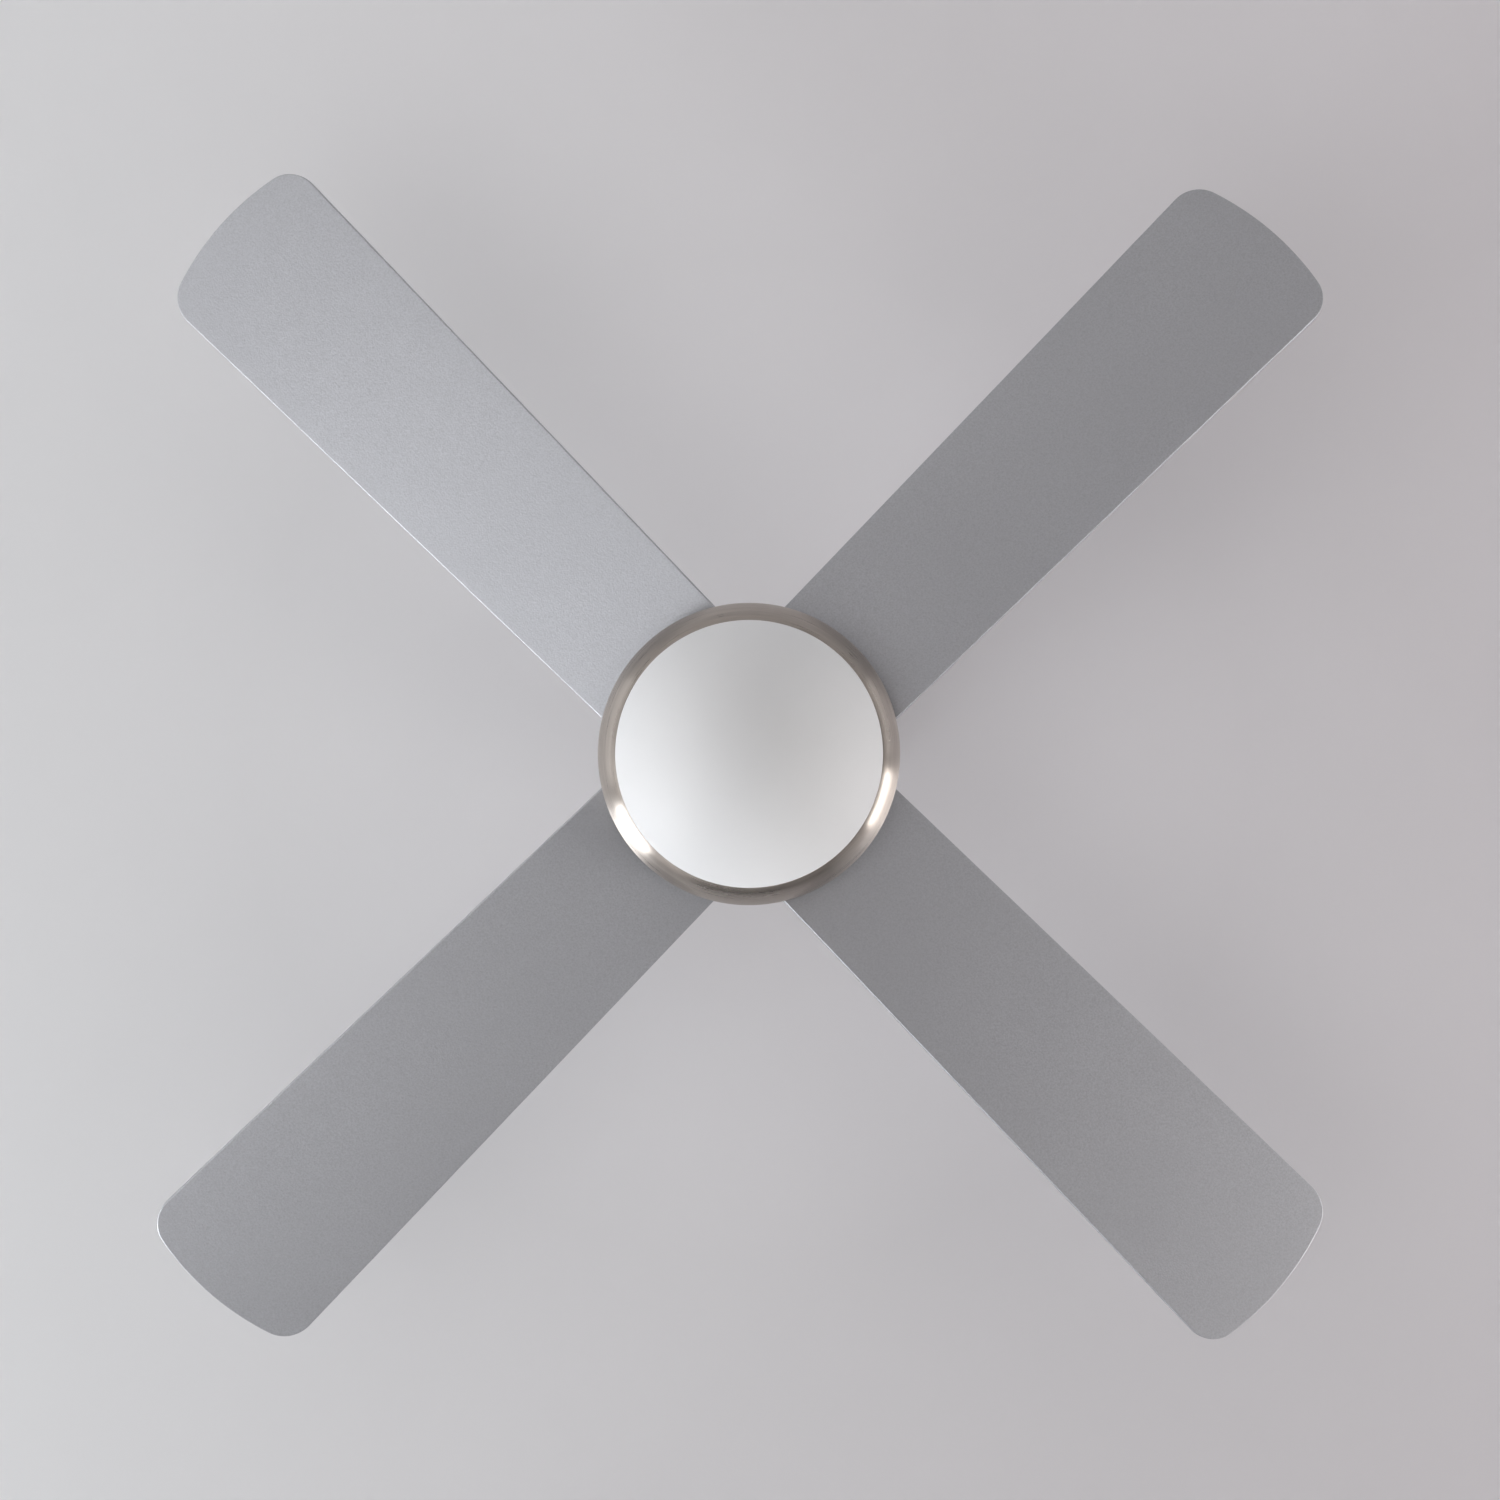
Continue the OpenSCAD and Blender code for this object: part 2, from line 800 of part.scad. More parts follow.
// A steel arm: a level tab under the motor, a twisted neck and a pitched paddle on the blade
module blade_arm(i) {
    neck_w = 26;
    neck_t = arm_t - 0.6;
    neck_inset = 3;
    neck_end = 0.5;
    color(zinc)
        difference() {
            union() {
                at_arm(i)
                    translate([arm_tab[0], -arm_tab[2] / 2, -arm_t])
                        cube([arm_tab[1] - arm_tab[0], arm_tab[2], arm_t]);
                at_blade(i)
                    translate([arm_paddle[0], -arm_paddle[2] / 2, blade_t / 2 + run_gap])
                        cube([arm_paddle[1] - arm_paddle[0], arm_paddle[2], arm_t]);
                hull() {
                    at_arm(i)
                        translate([arm_tab[1] - neck_inset, -neck_w / 2, -arm_t + 0.3])
                            cube([neck_end, neck_w, neck_t]);
                    at_blade(i)
                        translate([arm_paddle[0] + 1, -neck_w / 2, blade_t / 2 + 0.3])
                            cube([neck_end, neck_w, neck_t]);
                }
            }
            at_arm(i)
                for (p = arm_screw_places)
                    translate([p[0], p[1], 0])
                        bar(screw_r + 0.2, -arm_t - 1, 1);
            at_blade(i)
                for (p = blade_screw_places)
                    translate([p[0], p[1], 0])
                        bar(screw_r + run_gap, 0, blade_t + arm_t);
        }
}

module arm_screws() {
    color(steel)
        for (i = [1:blade_count])
            at_arm(i)
                for (p = arm_screw_places)
                    translate([p[0], p[1], -arm_t - run_gap])
                        rotate([180, 0, 0])
                            cross_screw(screw_r, 7);
}

module blade_washers() {
    color(black_plastic)
        for (i = [1:blade_count])
            at_blade(i)
                for (p = blade_screw_places)
                    translate([p[0], p[1], -blade_t / 2 - washer_t - run_gap])
                        ring(screw_r + 0.1, washer_r, 0, washer_t);
}

module blade_screws() {
    color(zinc)
        for (i = [1:blade_count])
            at_blade(i)
                for (p = blade_screw_places)
                    translate([p[0], p[1], -blade_t / 2 - washer_t - 2 * run_gap])
                        rotate([180, 0, 0])
                            cross_screw(screw_r, washer_t + blade_t + arm_t + 0.5);
}

// ---- Lower bowl and light ----

module at_spacers() {
    around(spacer_count, spacer_first_angle)
        translate([spacer_ring, 0, 0])
            children();
}

module mounting_plate() {
    color(zinc)
        difference() {
            bar(mounting_r, plate_top_z - mounting_t, plate_top_z - run_gap);
            bar(shaft_r + run_gap, plate_top_z - mounting_t - 1, plate_top_z + 1);
            at_spacers()
                bar(small_screw_r + run_gap, plate_top_z - mounting_t - 1, plate_top_z + 1);
        }
}

module shaft_nut() {
    top_z = plate_top_z - mounting_t - run_gap;
    color(steel)
        difference() {
            translate([0, 0, top_z - nut_t])
                cylinder(h = nut_t, r = nut_flats / sqrt(3), $fn = 6);
            bar(shaft_r + run_gap, top_z - nut_t - 1, top_z + 1);
        }
}

module capacitor() {
    top_z = plate_top_z - mounting_t - run_gap;
    color(black_plastic)
        translate([22, -14, top_z - 20]) {
            cube([48, 28, 20]);
            for (side = [8, 20])
                translate([-4, side - 2, 8])
                    cube([4 + eps, 4, 1]);
        }
}

module plate_spacers() {
    color(zinc)
        at_spacers()
            ring(small_screw_r + 0.2, spacer_r, pan_top_z + sheet_t + run_gap, plate_top_z - mounting_t - run_gap);
}

// The bowl wall is a quarter oval; a flange inside it rests on the light pan
module lower_bowl() {
    band_z = bowl_rim_z - rim_band_h;
    oval_rx = bowl_r - lip_r;
    oval_ry = band_z - bowl_lip_z;
    flange_low = pan_top_z + run_gap;
    flange_high = pan_top_z + sheet_t;
    low_angle = -asin((band_z - flange_low) / (oval_ry - sheet_t));
    high_angle = -asin((band_z - flange_high) / (oval_ry - sheet_t));
    color(nickel)
        difference() {
            rotate_extrude()
                polygon(concat(
                    [[bowl_r, bowl_rim_z]],
                    oval([lip_r, band_z], oval_rx, oval_ry, 0, -90, 32),
                    oval([lip_r, band_z], oval_rx - sheet_t, oval_ry - sheet_t, -90, low_angle, 16),
                    [[flange_inner_r, flange_low], [flange_inner_r, flange_high]],
                    oval([lip_r, band_z], oval_rx - sheet_t, oval_ry - sheet_t, high_angle, 0, 16),
                    [[bowl_r - sheet_t, bowl_rim_z]]
                ));
            at_spacers()
                bar(small_screw_r + 0.3, pan_top_z - 1, pan_top_z + sheet_t + 1);
        }
}

// A block of ring between two radii and heights that spans an angle about +X
module ring_piece(r_in, r_out, z_low, z_high, angle) {
    rotate(-angle / 2)
        rotate_extrude(angle = angle)
            translate([r_in, z_low])
                square([r_out - r_in, z_high - z_low]);
}

module light_pan() {
    pan_low = pan_top_z - pan_t;
    skirt_in = pan_r - skirt_t;
    color(white_plastic)
        difference() {
            union() {
                bar(pan_r, pan_low, pan_top_z);
                ring(skirt_in, pan_r, skirt_bottom_z, pan_low + eps);
                around(lug_count, spacer_first_angle)
                    ring_piece(glass_ring_r + body_gap, skirt_in + 0.5, skirt_bottom_z, skirt_bottom_z + 1.5, hook_angle);
            }
            bar(10, pan_low - 1, pan_top_z + 1);
            at_spacers()
                bar(small_screw_r + 0.2, pan_low - 1, pan_top_z + 1);
            for (side = [-1, 1])
                translate([side * 16, 0, 0])
                    bar(1.5 + run_gap, pan_low - 1, pan_top_z + 1);
        }
}

// Three long screws through the pan and spacers, and two short ones for the lampholder bracket
module light_pan_screws() {
    pan_low = pan_top_z - pan_t;
    color(zinc) {
        at_spacers()
            translate([0, 0, pan_low - run_gap])
                rotate([180, 0, 0])
                    cross_screw(small_screw_r, plate_top_z + 1 - pan_low);
        for (side = [-1, 1])
            translate([side * 16, 0, pan_low - 1.5 - 2 * run_gap])
                rotate([180, 0, 0])
                    cross_screw(1.5, pan_t + 2);
    }
}

module lampholder_bracket() {
    base_top = pan_top_z - pan_t - run_gap;
    color(zinc)
        difference() {
            union() {
                translate([-22, -11, base_top - 1.5])
                    cube([44, 22, 1.5]);
                for (side = [-1, 1])
                    translate([side * 6.75 - 0.75, -11, lamp_z - 12])
                        cube([1.5, 22, base_top - lamp_z + 12 - eps]);
            }
            for (side = [-1, 1])
                translate([side * 16, 0, 0])
                    bar(1.5 + 0.2, base_top - 3, base_top + 1);
            bar(5, base_top - 3, base_top + 1);
        }
}

// A lampholder on the bracket, facing +X; side = -1 turns it round
module lampholder(side) {
    color(white_plastic)
        rotate(side > 0 ? 0 : 180)
            translate([holder_x + run_gap, 0, lamp_z])
                rotate([0, 90, 0])
                    difference() {
                        union() {
                            cylinder(h = holder_len, r = holder_r - 2);
                            bar(holder_r, holder_len - 8, holder_len);
                        }
                        bar(cap_r + 0.4, 5, holder_len + 1);
                    }
}

// A small globe bulb: metal cap, plastic neck and opal globe in one turned outline
module bulb(side) {
    cap_back = holder_x + 7;
    neck_x = holder_x + holder_len + 1;
    globe_start = asin(cap_r / bulb_r);
    color(opal)
        rotate(side > 0 ? 0 : 180)
            translate([0, 0, lamp_z])
                rotate([0, 90, 0])
                    rotate_extrude()
                        polygon(concat(
                            [[0, cap_back], [4, cap_back], [cap_r, cap_back + 4], [cap_r, neck_x]],
                            arc([0, bulb_x], bulb_r, globe_start - 90, 90, 24)
                        ));
}

module glass_ring() {
    low = skirt_bottom_z + 1.5 + body_gap;
    color(zinc) {
        ring(neck_r + run_gap, glass_ring_r, low, pan_top_z - pan_t - 1.5);
        around(lug_count, spacer_first_angle)
            ring_piece(glass_ring_r - 0.5, pan_r - skirt_t - body_gap, low, low + 1.5, lug_angle);
    }
}

module glass_shade() {
    roll_c = [glass_r - glass_roll_r, glass_wide_z];
    cap_big_r = (pow(roll_c[0], 2) + pow(dome_depth, 2) - pow(glass_roll_r, 2))
        / (2 * (dome_depth - glass_roll_r));
    cap_c = [0, glass_wide_z - dome_depth + cap_big_r];
    meet = atan2(roll_c[1] - cap_c[1], roll_c[0]);
    neck_in = neck_r - glass_t;
    neck_top = pan_top_z - pan_t - 1.5;
    neck_meet = 180 - acos((roll_c[0] - neck_r) / glass_roll_r);
    color(opal)
        rotate_extrude()
            polygon(concat(
                [[neck_r, neck_top]],
                arc(roll_c, glass_roll_r, neck_meet, meet, 16),
                arc(cap_c, cap_big_r, meet, -90, 32),
                arc(cap_c, cap_big_r - glass_t, -90, meet, 32),
                arc(roll_c, glass_roll_r - glass_t, meet, 90, 12),
                [[neck_in, roll_c[1] + glass_roll_r - glass_t], [neck_in, neck_top]]
            ));
}

hanger_bracket();
terminal_block();
terminal_screws();
canopy();
canopy_screws();
canopy_ring();
hanger_ball();
ball_pin();
ball_set_screw();
downrod();
supply_wires();
yoke();
clevis_pin();
clevis_clip();
yoke_set_screws();
yoke_cover();
upper_housing();
housing_screws();
reverse_switch_body();
reverse_switch_slider();
reverse_switch_screws();
motor_shaft();
stator_core();
stator_windings();
bearing_inner_ring(1);  // upper_bearing_inner_ring
bearing_outer_ring(1);  // upper_bearing_outer_ring
bearing_ball_set(1);  // upper_bearing_balls
bearing_inner_ring(-1);  // lower_bearing_inner_ring
bearing_outer_ring(-1);  // lower_bearing_outer_ring
bearing_ball_set(-1);  // lower_bearing_balls
rotor_ring();
rotor_top_shell();
rotor_bottom_shell();
rotor_screws();
blade_arm(1);  // blade_arm_1
blade_arm(2);  // blade_arm_2
blade_arm(3);  // blade_arm_3
blade_arm(4);  // blade_arm_4
arm_screws();
blade(1);  // blade_1
blade(2);  // blade_2
blade(3);  // blade_3
blade(4);  // blade_4
blade_washers();
blade_screws();
mounting_plate();
shaft_nut();
capacitor();
plate_spacers();
lower_bowl();
light_pan();
light_pan_screws();
lampholder_bracket();
lampholder(1);  // lampholder_1
lampholder(-1);  // lampholder_2
bulb(1);  // bulb_1
bulb(-1);  // bulb_2
glass_ring();
glass_shade();
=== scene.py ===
"""Ceiling fan with light: surfaces, detailed shells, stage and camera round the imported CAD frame."""

import json
import math

import bmesh
import bpy
from mathutils import Matrix, Vector

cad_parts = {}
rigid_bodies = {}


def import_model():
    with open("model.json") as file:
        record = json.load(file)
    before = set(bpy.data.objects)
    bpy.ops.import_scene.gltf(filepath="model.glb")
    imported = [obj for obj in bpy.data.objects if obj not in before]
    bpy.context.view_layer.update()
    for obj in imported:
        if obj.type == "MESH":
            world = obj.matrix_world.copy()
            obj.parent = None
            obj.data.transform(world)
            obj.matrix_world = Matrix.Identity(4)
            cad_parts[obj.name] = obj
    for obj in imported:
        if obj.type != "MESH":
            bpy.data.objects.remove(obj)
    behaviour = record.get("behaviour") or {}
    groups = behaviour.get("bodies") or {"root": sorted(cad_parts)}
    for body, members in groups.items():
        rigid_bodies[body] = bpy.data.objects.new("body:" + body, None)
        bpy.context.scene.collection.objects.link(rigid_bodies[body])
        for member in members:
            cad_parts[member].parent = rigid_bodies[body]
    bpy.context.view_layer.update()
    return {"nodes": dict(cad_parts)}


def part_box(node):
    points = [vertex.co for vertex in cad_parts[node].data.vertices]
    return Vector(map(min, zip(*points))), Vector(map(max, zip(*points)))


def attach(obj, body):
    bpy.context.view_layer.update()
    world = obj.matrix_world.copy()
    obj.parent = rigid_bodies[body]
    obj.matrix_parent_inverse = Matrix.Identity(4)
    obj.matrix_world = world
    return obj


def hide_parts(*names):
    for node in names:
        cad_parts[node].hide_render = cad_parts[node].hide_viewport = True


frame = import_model()
nodes = frame["nodes"]

MM = 0.001


# ---- Places that the frame gives ----

def radius_of(node):
    """Outer radius of a round CAD node about the fan axis."""
    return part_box(node)[1].y


def top_of(node):
    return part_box(node)[1].z


def bottom_of(node):
    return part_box(node)[0].z


# ---- Sizes that several pieces share ----

SHEET = 1.5 * MM
GAP = 0.05 * MM
BLADE_COUNT = 4
BLADE_FIRST_ANGLE = math.radians(45)
BLADE_PITCH = math.radians(12)
BLADE_T = 6 * MM
BLADE_Z = (top_of("blade_1") + bottom_of("blade_1")) / 2
SWEEP_R = 660 * MM
CANOPY_SCREW_Z = -14 * MM
SWITCH_RISE = 8 * MM
SWITCH_SCREW_X = 8.5 * MM
HOUSING_SCREW_R = 23 * MM
ROTOR_SCREW_R = 91 * MM
ARM_START = 34 * MM
ARM_END = 128 * MM
ARM_CORNER = 6 * MM
ARM_HALF_T = 1.75 * MM
ARM_HOLES = [(s * MM, v * MM) for s, v in ((48, 12), (72, -12), (48, -12), (72, 12))]
BLADE_HOLES = [(s * MM, v * MM) for s, v in ((103, 18), (103, -18), (119, 0))]
FLOOR_Z = BLADE_Z - 2.4


# ---- Small helpers for node materials ----

def new_material(name, **sockets):
    """A Principled material with constant sockets. Returns the material, its tree and its shader."""
    material = bpy.data.materials.new(name)
    material.use_nodes = True
    tree = material.node_tree
    shader = tree.nodes["Principled BSDF"]
    for socket, value in sockets.items():
        shader.inputs[socket.replace("_", " ")].default_value = value
    return material, tree, shader


def place(tree, scale=(1, 1, 1)):
    """Object coordinates in metres, times a scale."""
    coords = tree.nodes.new("ShaderNodeTexCoord")
    mapping = tree.nodes.new("ShaderNodeMapping")
    mapping.inputs["Scale"].default_value = scale
    tree.links.new(coords.outputs["Object"], mapping.inputs["Vector"])
    return mapping.outputs["Vector"]


def noise(tree, vector, scale, detail=3.0, roughness=0.55):
    texture = tree.nodes.new("ShaderNodeTexNoise")
    texture.inputs["Scale"].default_value = scale
    texture.inputs["Detail"].default_value = detail
    texture.inputs["Roughness"].default_value = roughness
    tree.links.new(vector, texture.inputs["Vector"])
    return texture.outputs["Fac"]


def cells(tree, vector, scale):
    """The random value of each Voronoi cell, as flat patches."""
    texture = tree.nodes.new("ShaderNodeTexVoronoi")
    texture.inputs["Scale"].default_value = scale
    tree.links.new(vector, texture.inputs["Vector"])
    split = tree.nodes.new("ShaderNodeSeparateColor")
    tree.links.new(texture.outputs["Color"], split.inputs["Color"])
    return split.outputs["Red"]


def calc(tree, operation, a, b=0.0):
    node = tree.nodes.new("ShaderNodeMath")
    node.operation = operation
    for socket, value in zip(node.inputs, (a, b)):
        if isinstance(value, (int, float)):
            socket.default_value = value
        else:
            tree.links.new(value, socket)
    return node.outputs["Value"]


def spread(tree, value, low, high, start=0.3, end=0.7):
    """Maps the middle of a noise to a range."""
    node = tree.nodes.new("ShaderNodeMapRange")
    node.inputs["From Min"].default_value = start
    node.inputs["From Max"].default_value = end
    node.inputs["To Min"].default_value = low
    node.inputs["To Max"].default_value = high
    tree.links.new(value, node.inputs["Value"])
    return node.outputs["Result"]


def blend_colours(tree, factor, first, second):
    node = tree.nodes.new("ShaderNodeMix")
    node.data_type = "RGBA"
    tree.links.new(factor, node.inputs["Factor"])
    colour_inputs = [s for s in node.inputs if s.type == "RGBA"]
    for socket, value in zip(colour_inputs, (first, second)):
        if isinstance(value, tuple):
            socket.default_value = (*value, 1)
        else:
            tree.links.new(value, socket)
    return next(s for s in node.outputs if s.type == "RGBA")


def bump(tree, shader, height, distance):
    """Relief of a depth in metres."""
    node = tree.nodes.new("ShaderNodeBump")
    node.inputs["Distance"].default_value = distance
    node.inputs["Strength"].default_value = 1.0
    tree.links.new(height, node.inputs["Height"])
    tree.links.new(node.outputs["Normal"], shader.inputs["Normal"])


def paint(tree, shader, factor, first, second):
    """Blends two colours into the base colour."""
    colour = blend_colours(tree, factor, first, second)
    tree.links.new(colour, shader.inputs["Base Color"])


def vary_roughness(tree, shader, value, low, high):
    """Lets a value move the roughness between two numbers."""
    tree.links.new(spread(tree, value, low, high), shader.inputs["Roughness"])


def tinted(colour, gain):
    """A colour made darker or lighter."""
    return tuple(c * gain for c in colour)


def axis_distance(tree, x, y):
    """Distance from the fan axis."""
    squares = calc(tree, "ADD", calc(tree, "MULTIPLY", x, x), calc(tree, "MULTIPLY", y, y))
    return calc(tree, "SQRT", squares)


def turned_vector(tree):
    """Coordinates in which a noise draws fine lines round the fan axis."""
    coords = tree.nodes.new("ShaderNodeTexCoord")
    split = tree.nodes.new("ShaderNodeSeparateXYZ")
    tree.links.new(coords.outputs["Object"], split.inputs["Vector"])
    radius = axis_distance(tree, split.outputs["X"], split.outputs["Y"])
    along = calc(tree, "SUBTRACT", radius, split.outputs["Z"])
    join = tree.nodes.new("ShaderNodeCombineXYZ")
    slow = 14.0
    fine = 1500.0
    tree.links.new(calc(tree, "MULTIPLY", split.outputs["X"], slow), join.inputs["X"])
    tree.links.new(calc(tree, "MULTIPLY", split.outputs["Y"], slow), join.inputs["Y"])
    tree.links.new(calc(tree, "MULTIPLY", along, fine), join.inputs["Z"])
    return join.outputs["Vector"]


def spin_tangent(tree, shader):
    """Turns the brushing of a metal with the fan axis."""
    tangent = tree.nodes.new("ShaderNodeTangent")
    tangent.direction_type = "RADIAL"
    tangent.axis = "Z"
    tree.links.new(tangent.outputs["Tangent"], shader.inputs["Tangent"])


# ---- Materials ----

def brushed_nickel():
    """Satin nickel, brushed round the axis."""
    base = (0.53, 0.48, 0.44)
    material, tree, shader = new_material(
        "brushed_nickel", Metallic=1.0, Roughness=0.4, Anisotropic=1.0, Anisotropic_Rotation=0.25)
    spin_tangent(tree, shader)
    lines = noise(tree, turned_vector(tree), 1.0, detail=4.0, roughness=0.6)
    patches = noise(tree, place(tree), 26.0)
    vary_roughness(tree, shader, lines, 0.26, 0.34)
    streaks = blend_colours(tree, spread(tree, lines, 0.0, 1.0), tinted(base, 0.84), tinted(base, 1.12))
    paint(tree, shader, spread(tree, patches, 0.0, 0.25), streaks, tinted(base, 0.94))
    bump(tree, shader, lines, 0.012 * MM)
    return material


def silver_lacquer():
    """Satin metallic lacquer with a fine orange-peel grain."""
    base = (0.488, 0.495, 0.524)
    material, tree, shader = new_material("silver_lacquer", Metallic=0.92, Roughness=0.48)
    grain = noise(tree, place(tree), 640.0, detail=1.5, roughness=0.5)
    flakes = cells(tree, place(tree), 1300.0)
    clouds = noise(tree, place(tree), 5.0, detail=2.0)
    colour = blend_colours(tree, spread(tree, grain, 0.0, 1.0), tinted(base, 0.88), tinted(base, 1.12))
    sparkle = blend_colours(tree, spread(tree, flakes, 0.0, 0.35, 0.0, 1.0), colour, tinted(base, 1.18))
    paint(tree, shader, spread(tree, clouds, 0.0, 0.4), sparkle, tinted(base, 0.97))
    vary_roughness(tree, shader, grain, 0.44, 0.52)
    bump(tree, shader, grain, 0.12 * MM)
    return material


def opal_glass():
    """White opal glass, acid etched to a satin outside."""
    base = (0.84, 0.845, 0.855)
    material, tree, shader = new_material(
        "opal_glass", Roughness=0.6, IOR=1.5, Specular_IOR_Level=0.35)
    mottle = noise(tree, place(tree), 38.0, detail=4.0)
    etch = noise(tree, place(tree), 1400.0, detail=2.0)
    paint(tree, shader, mottle, tinted(base, 0.985), base)
    vary_roughness(tree, shader, etch, 0.56, 0.64)
    bump(tree, shader, etch, 0.01 * MM)
    return material


def zinc_plate():
    """Bright zinc plate: fine rolling lines with faint cloudy patches."""
    base = (0.5, 0.51, 0.52)
    material, tree, shader = new_material("zinc_plate", Metallic=1.0, Roughness=0.32)
    lines = noise(tree, place(tree, (60, 900, 900)), 1.0, detail=3.0)
    clouds = noise(tree, place(tree), 90.0, detail=4.0, roughness=0.65)
    paint(tree, shader, clouds, tinted(base, 0.82), tinted(base, 1.12))
    vary_roughness(tree, shader, clouds, 0.26, 0.42)
    bump(tree, shader, lines, 0.01 * MM)
    return material


def ground_steel():
    """Turned and ground steel of pins, shaft and screws."""
    base = (0.42, 0.425, 0.43)
    material, tree, shader = new_material("ground_steel", Metallic=1.0, Roughness=0.25)
    lines = noise(tree, turned_vector(tree), 1.4, detail=3.0)
    stains = noise(tree, place(tree), 160.0, detail=4.0)
    paint(tree, shader, stains, tinted(base, 0.85), tinted(base, 1.15))
    vary_roughness(tree, shader, lines, 0.2, 0.34)
    bump(tree, shader, lines, 0.008 * MM)
    return material


def laminated_steel():
    """Stacked electrical steel: thin lamination lines up the wall, blued faces."""
    base = (0.14, 0.15, 0.17)
    material, tree, shader = new_material("laminated_steel", Metallic=0.85, Roughness=0.45)
    stack = noise(tree, place(tree, (3, 3, 1900)), 1.0, detail=1.0)
    blue = noise(tree, place(tree), 45.0)
    paint(tree, shader, blue, base, (0.192, 0.204, 0.264))
    vary_roughness(tree, shader, stack, 0.36, 0.56)
    bump(tree, shader, stack, 0.06 * MM)
    return material


def copper_winding():
    """Enamelled copper wire, wound in lines round the axis."""
    base = (0.55, 0.2, 0.075)
    material, tree, shader = new_material("copper_winding", Metallic=0.9, Roughness=0.3, Coat_Weight=0.6)
    wires = noise(tree, turned_vector(tree), 0.9, detail=1.0)
    paint(tree, shader, wires, tinted(base, 0.45), tinted(base, 1.3))
    vary_roughness(tree, shader, wires, 0.25, 0.42)
    bump(tree, shader, wires, 0.3 * MM)
    return material


def cast_aluminium():
    """Die-cast aluminium with a light blasted grain."""
    base = (0.46, 0.465, 0.47)
    material, tree, shader = new_material("cast_aluminium", Metallic=1.0, Roughness=0.48)
    grain = noise(tree, place(tree), 780.0, detail=3.0, roughness=0.7)
    flow = noise(tree, place(tree), 30.0)
    paint(tree, shader, flow, tinted(base, 0.88), tinted(base, 1.06))
    vary_roughness(tree, shader, grain, 0.4, 0.6)
    bump(tree, shader, grain, 0.05 * MM)
    return material


def pressed_aluminium():
    """Spun sheet aluminium, with lines round the axis."""
    base = (0.62, 0.625, 0.63)
    material, tree, shader = new_material("pressed_aluminium", Metallic=1.0, Roughness=0.3)
    lines = noise(tree, turned_vector(tree), 1.0, detail=2.0)
    paint(tree, shader, lines, tinted(base, 0.92), tinted(base, 1.06))
    vary_roughness(tree, shader, lines, 0.24, 0.38)
    bump(tree, shader, lines, 0.01 * MM)
    return material


def plastic_or_enamel(name, base, roughness, grain_scale, grain_depth, coat=0.0):
    """A moulded or stoved surface: low mottling, fine texture and a spread of gloss."""
    material, tree, shader = new_material(name, Roughness=roughness, Coat_Weight=coat)
    grain = noise(tree, place(tree), grain_scale, detail=3.0)
    mottle = noise(tree, place(tree), 40.0)
    paint(tree, shader, mottle, tinted(base, 0.93), tinted(base, 1.03))
    vary_roughness(tree, shader, grain, roughness * 0.85, roughness * 1.2)
    bump(tree, shader, grain, grain_depth)
    return material


def wire_insulation():
    """Four cores, each with a colour of its own, told apart by where they run."""
    material, tree, shader = new_material("wire_insulation", Roughness=0.4)
    coords = tree.nodes.new("ShaderNodeTexCoord")
    split = tree.nodes.new("ShaderNodeSeparateXYZ")
    tree.links.new(coords.outputs["Object"], split.inputs["Vector"])
    right = calc(tree, "GREATER_THAN", split.outputs["X"], 0.0)
    back = calc(tree, "GREATER_THAN", split.outputs["Y"], 0.0)
    front_pair = blend_colours(tree, right, (0.05, 0.05, 0.055), (0.42, 0.5, 0.04))
    back_pair = blend_colours(tree, right, (0.19, 0.075, 0.03), (0.03, 0.12, 0.42))
    print_marks = noise(tree, place(tree, (300, 300, 60)), 1.0)
    both = blend_colours(tree, back, front_pair, back_pair)
    paint(tree, shader, spread(tree, print_marks, 0.0, 0.2), both, (0.3, 0.3, 0.3))
    vary_roughness(tree, shader, print_marks, 0.33, 0.48)
    bump(tree, shader, print_marks, 0.03 * MM)
    return material


MATERIALS = {
    "brushed_nickel": brushed_nickel(),
    "silver_blade": silver_lacquer(),
    "opal_glass": opal_glass(),
    "zinc_plated_steel": zinc_plate(),
    "bright_steel": ground_steel(),
    "electrical_steel": laminated_steel(),
    "copper_winding": copper_winding(),
    "cast_aluminium": cast_aluminium(),
    "ring_aluminium": pressed_aluminium(),
    "white_enamel": plastic_or_enamel("white_enamel", (0.8, 0.8, 0.77), 0.28, 260.0, 0.03 * MM, coat=0.5),
    "white_nylon": plastic_or_enamel("white_nylon", (0.78, 0.77, 0.72), 0.42, 900.0, 0.02 * MM),
    "black_nylon": plastic_or_enamel("black_nylon", (0.018, 0.018, 0.02), 0.4, 900.0, 0.03 * MM),
    "black_fibre": plastic_or_enamel("black_fibre", (0.022, 0.021, 0.02), 0.7, 1600.0, 0.08 * MM),
    "bulb_opal": plastic_or_enamel("bulb_opal", (0.86, 0.86, 0.83), 0.3, 120.0, 0.01 * MM, coat=0.2),
    "wire_insulation": wire_insulation(),
}


def paint_cad_nodes():
    """Gives each CAD node the procedural material of its slot."""
    for node in nodes.values():
        for slot in node.material_slots:
            slot.material = MATERIALS[slot.material.name.split(".")[0]]


# ---- Mesh helpers ----

def link_piece(name, mesh, body, slot, *replaced):
    """A detailed piece that rides on a body and stands in for CAD nodes."""
    piece = bpy.data.objects.new(name, mesh)
    bpy.context.scene.collection.objects.link(piece)
    mesh.materials.clear()
    mesh.materials.append(MATERIALS[slot])
    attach(piece, body)
    if replaced:
        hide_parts(*replaced)
    return piece


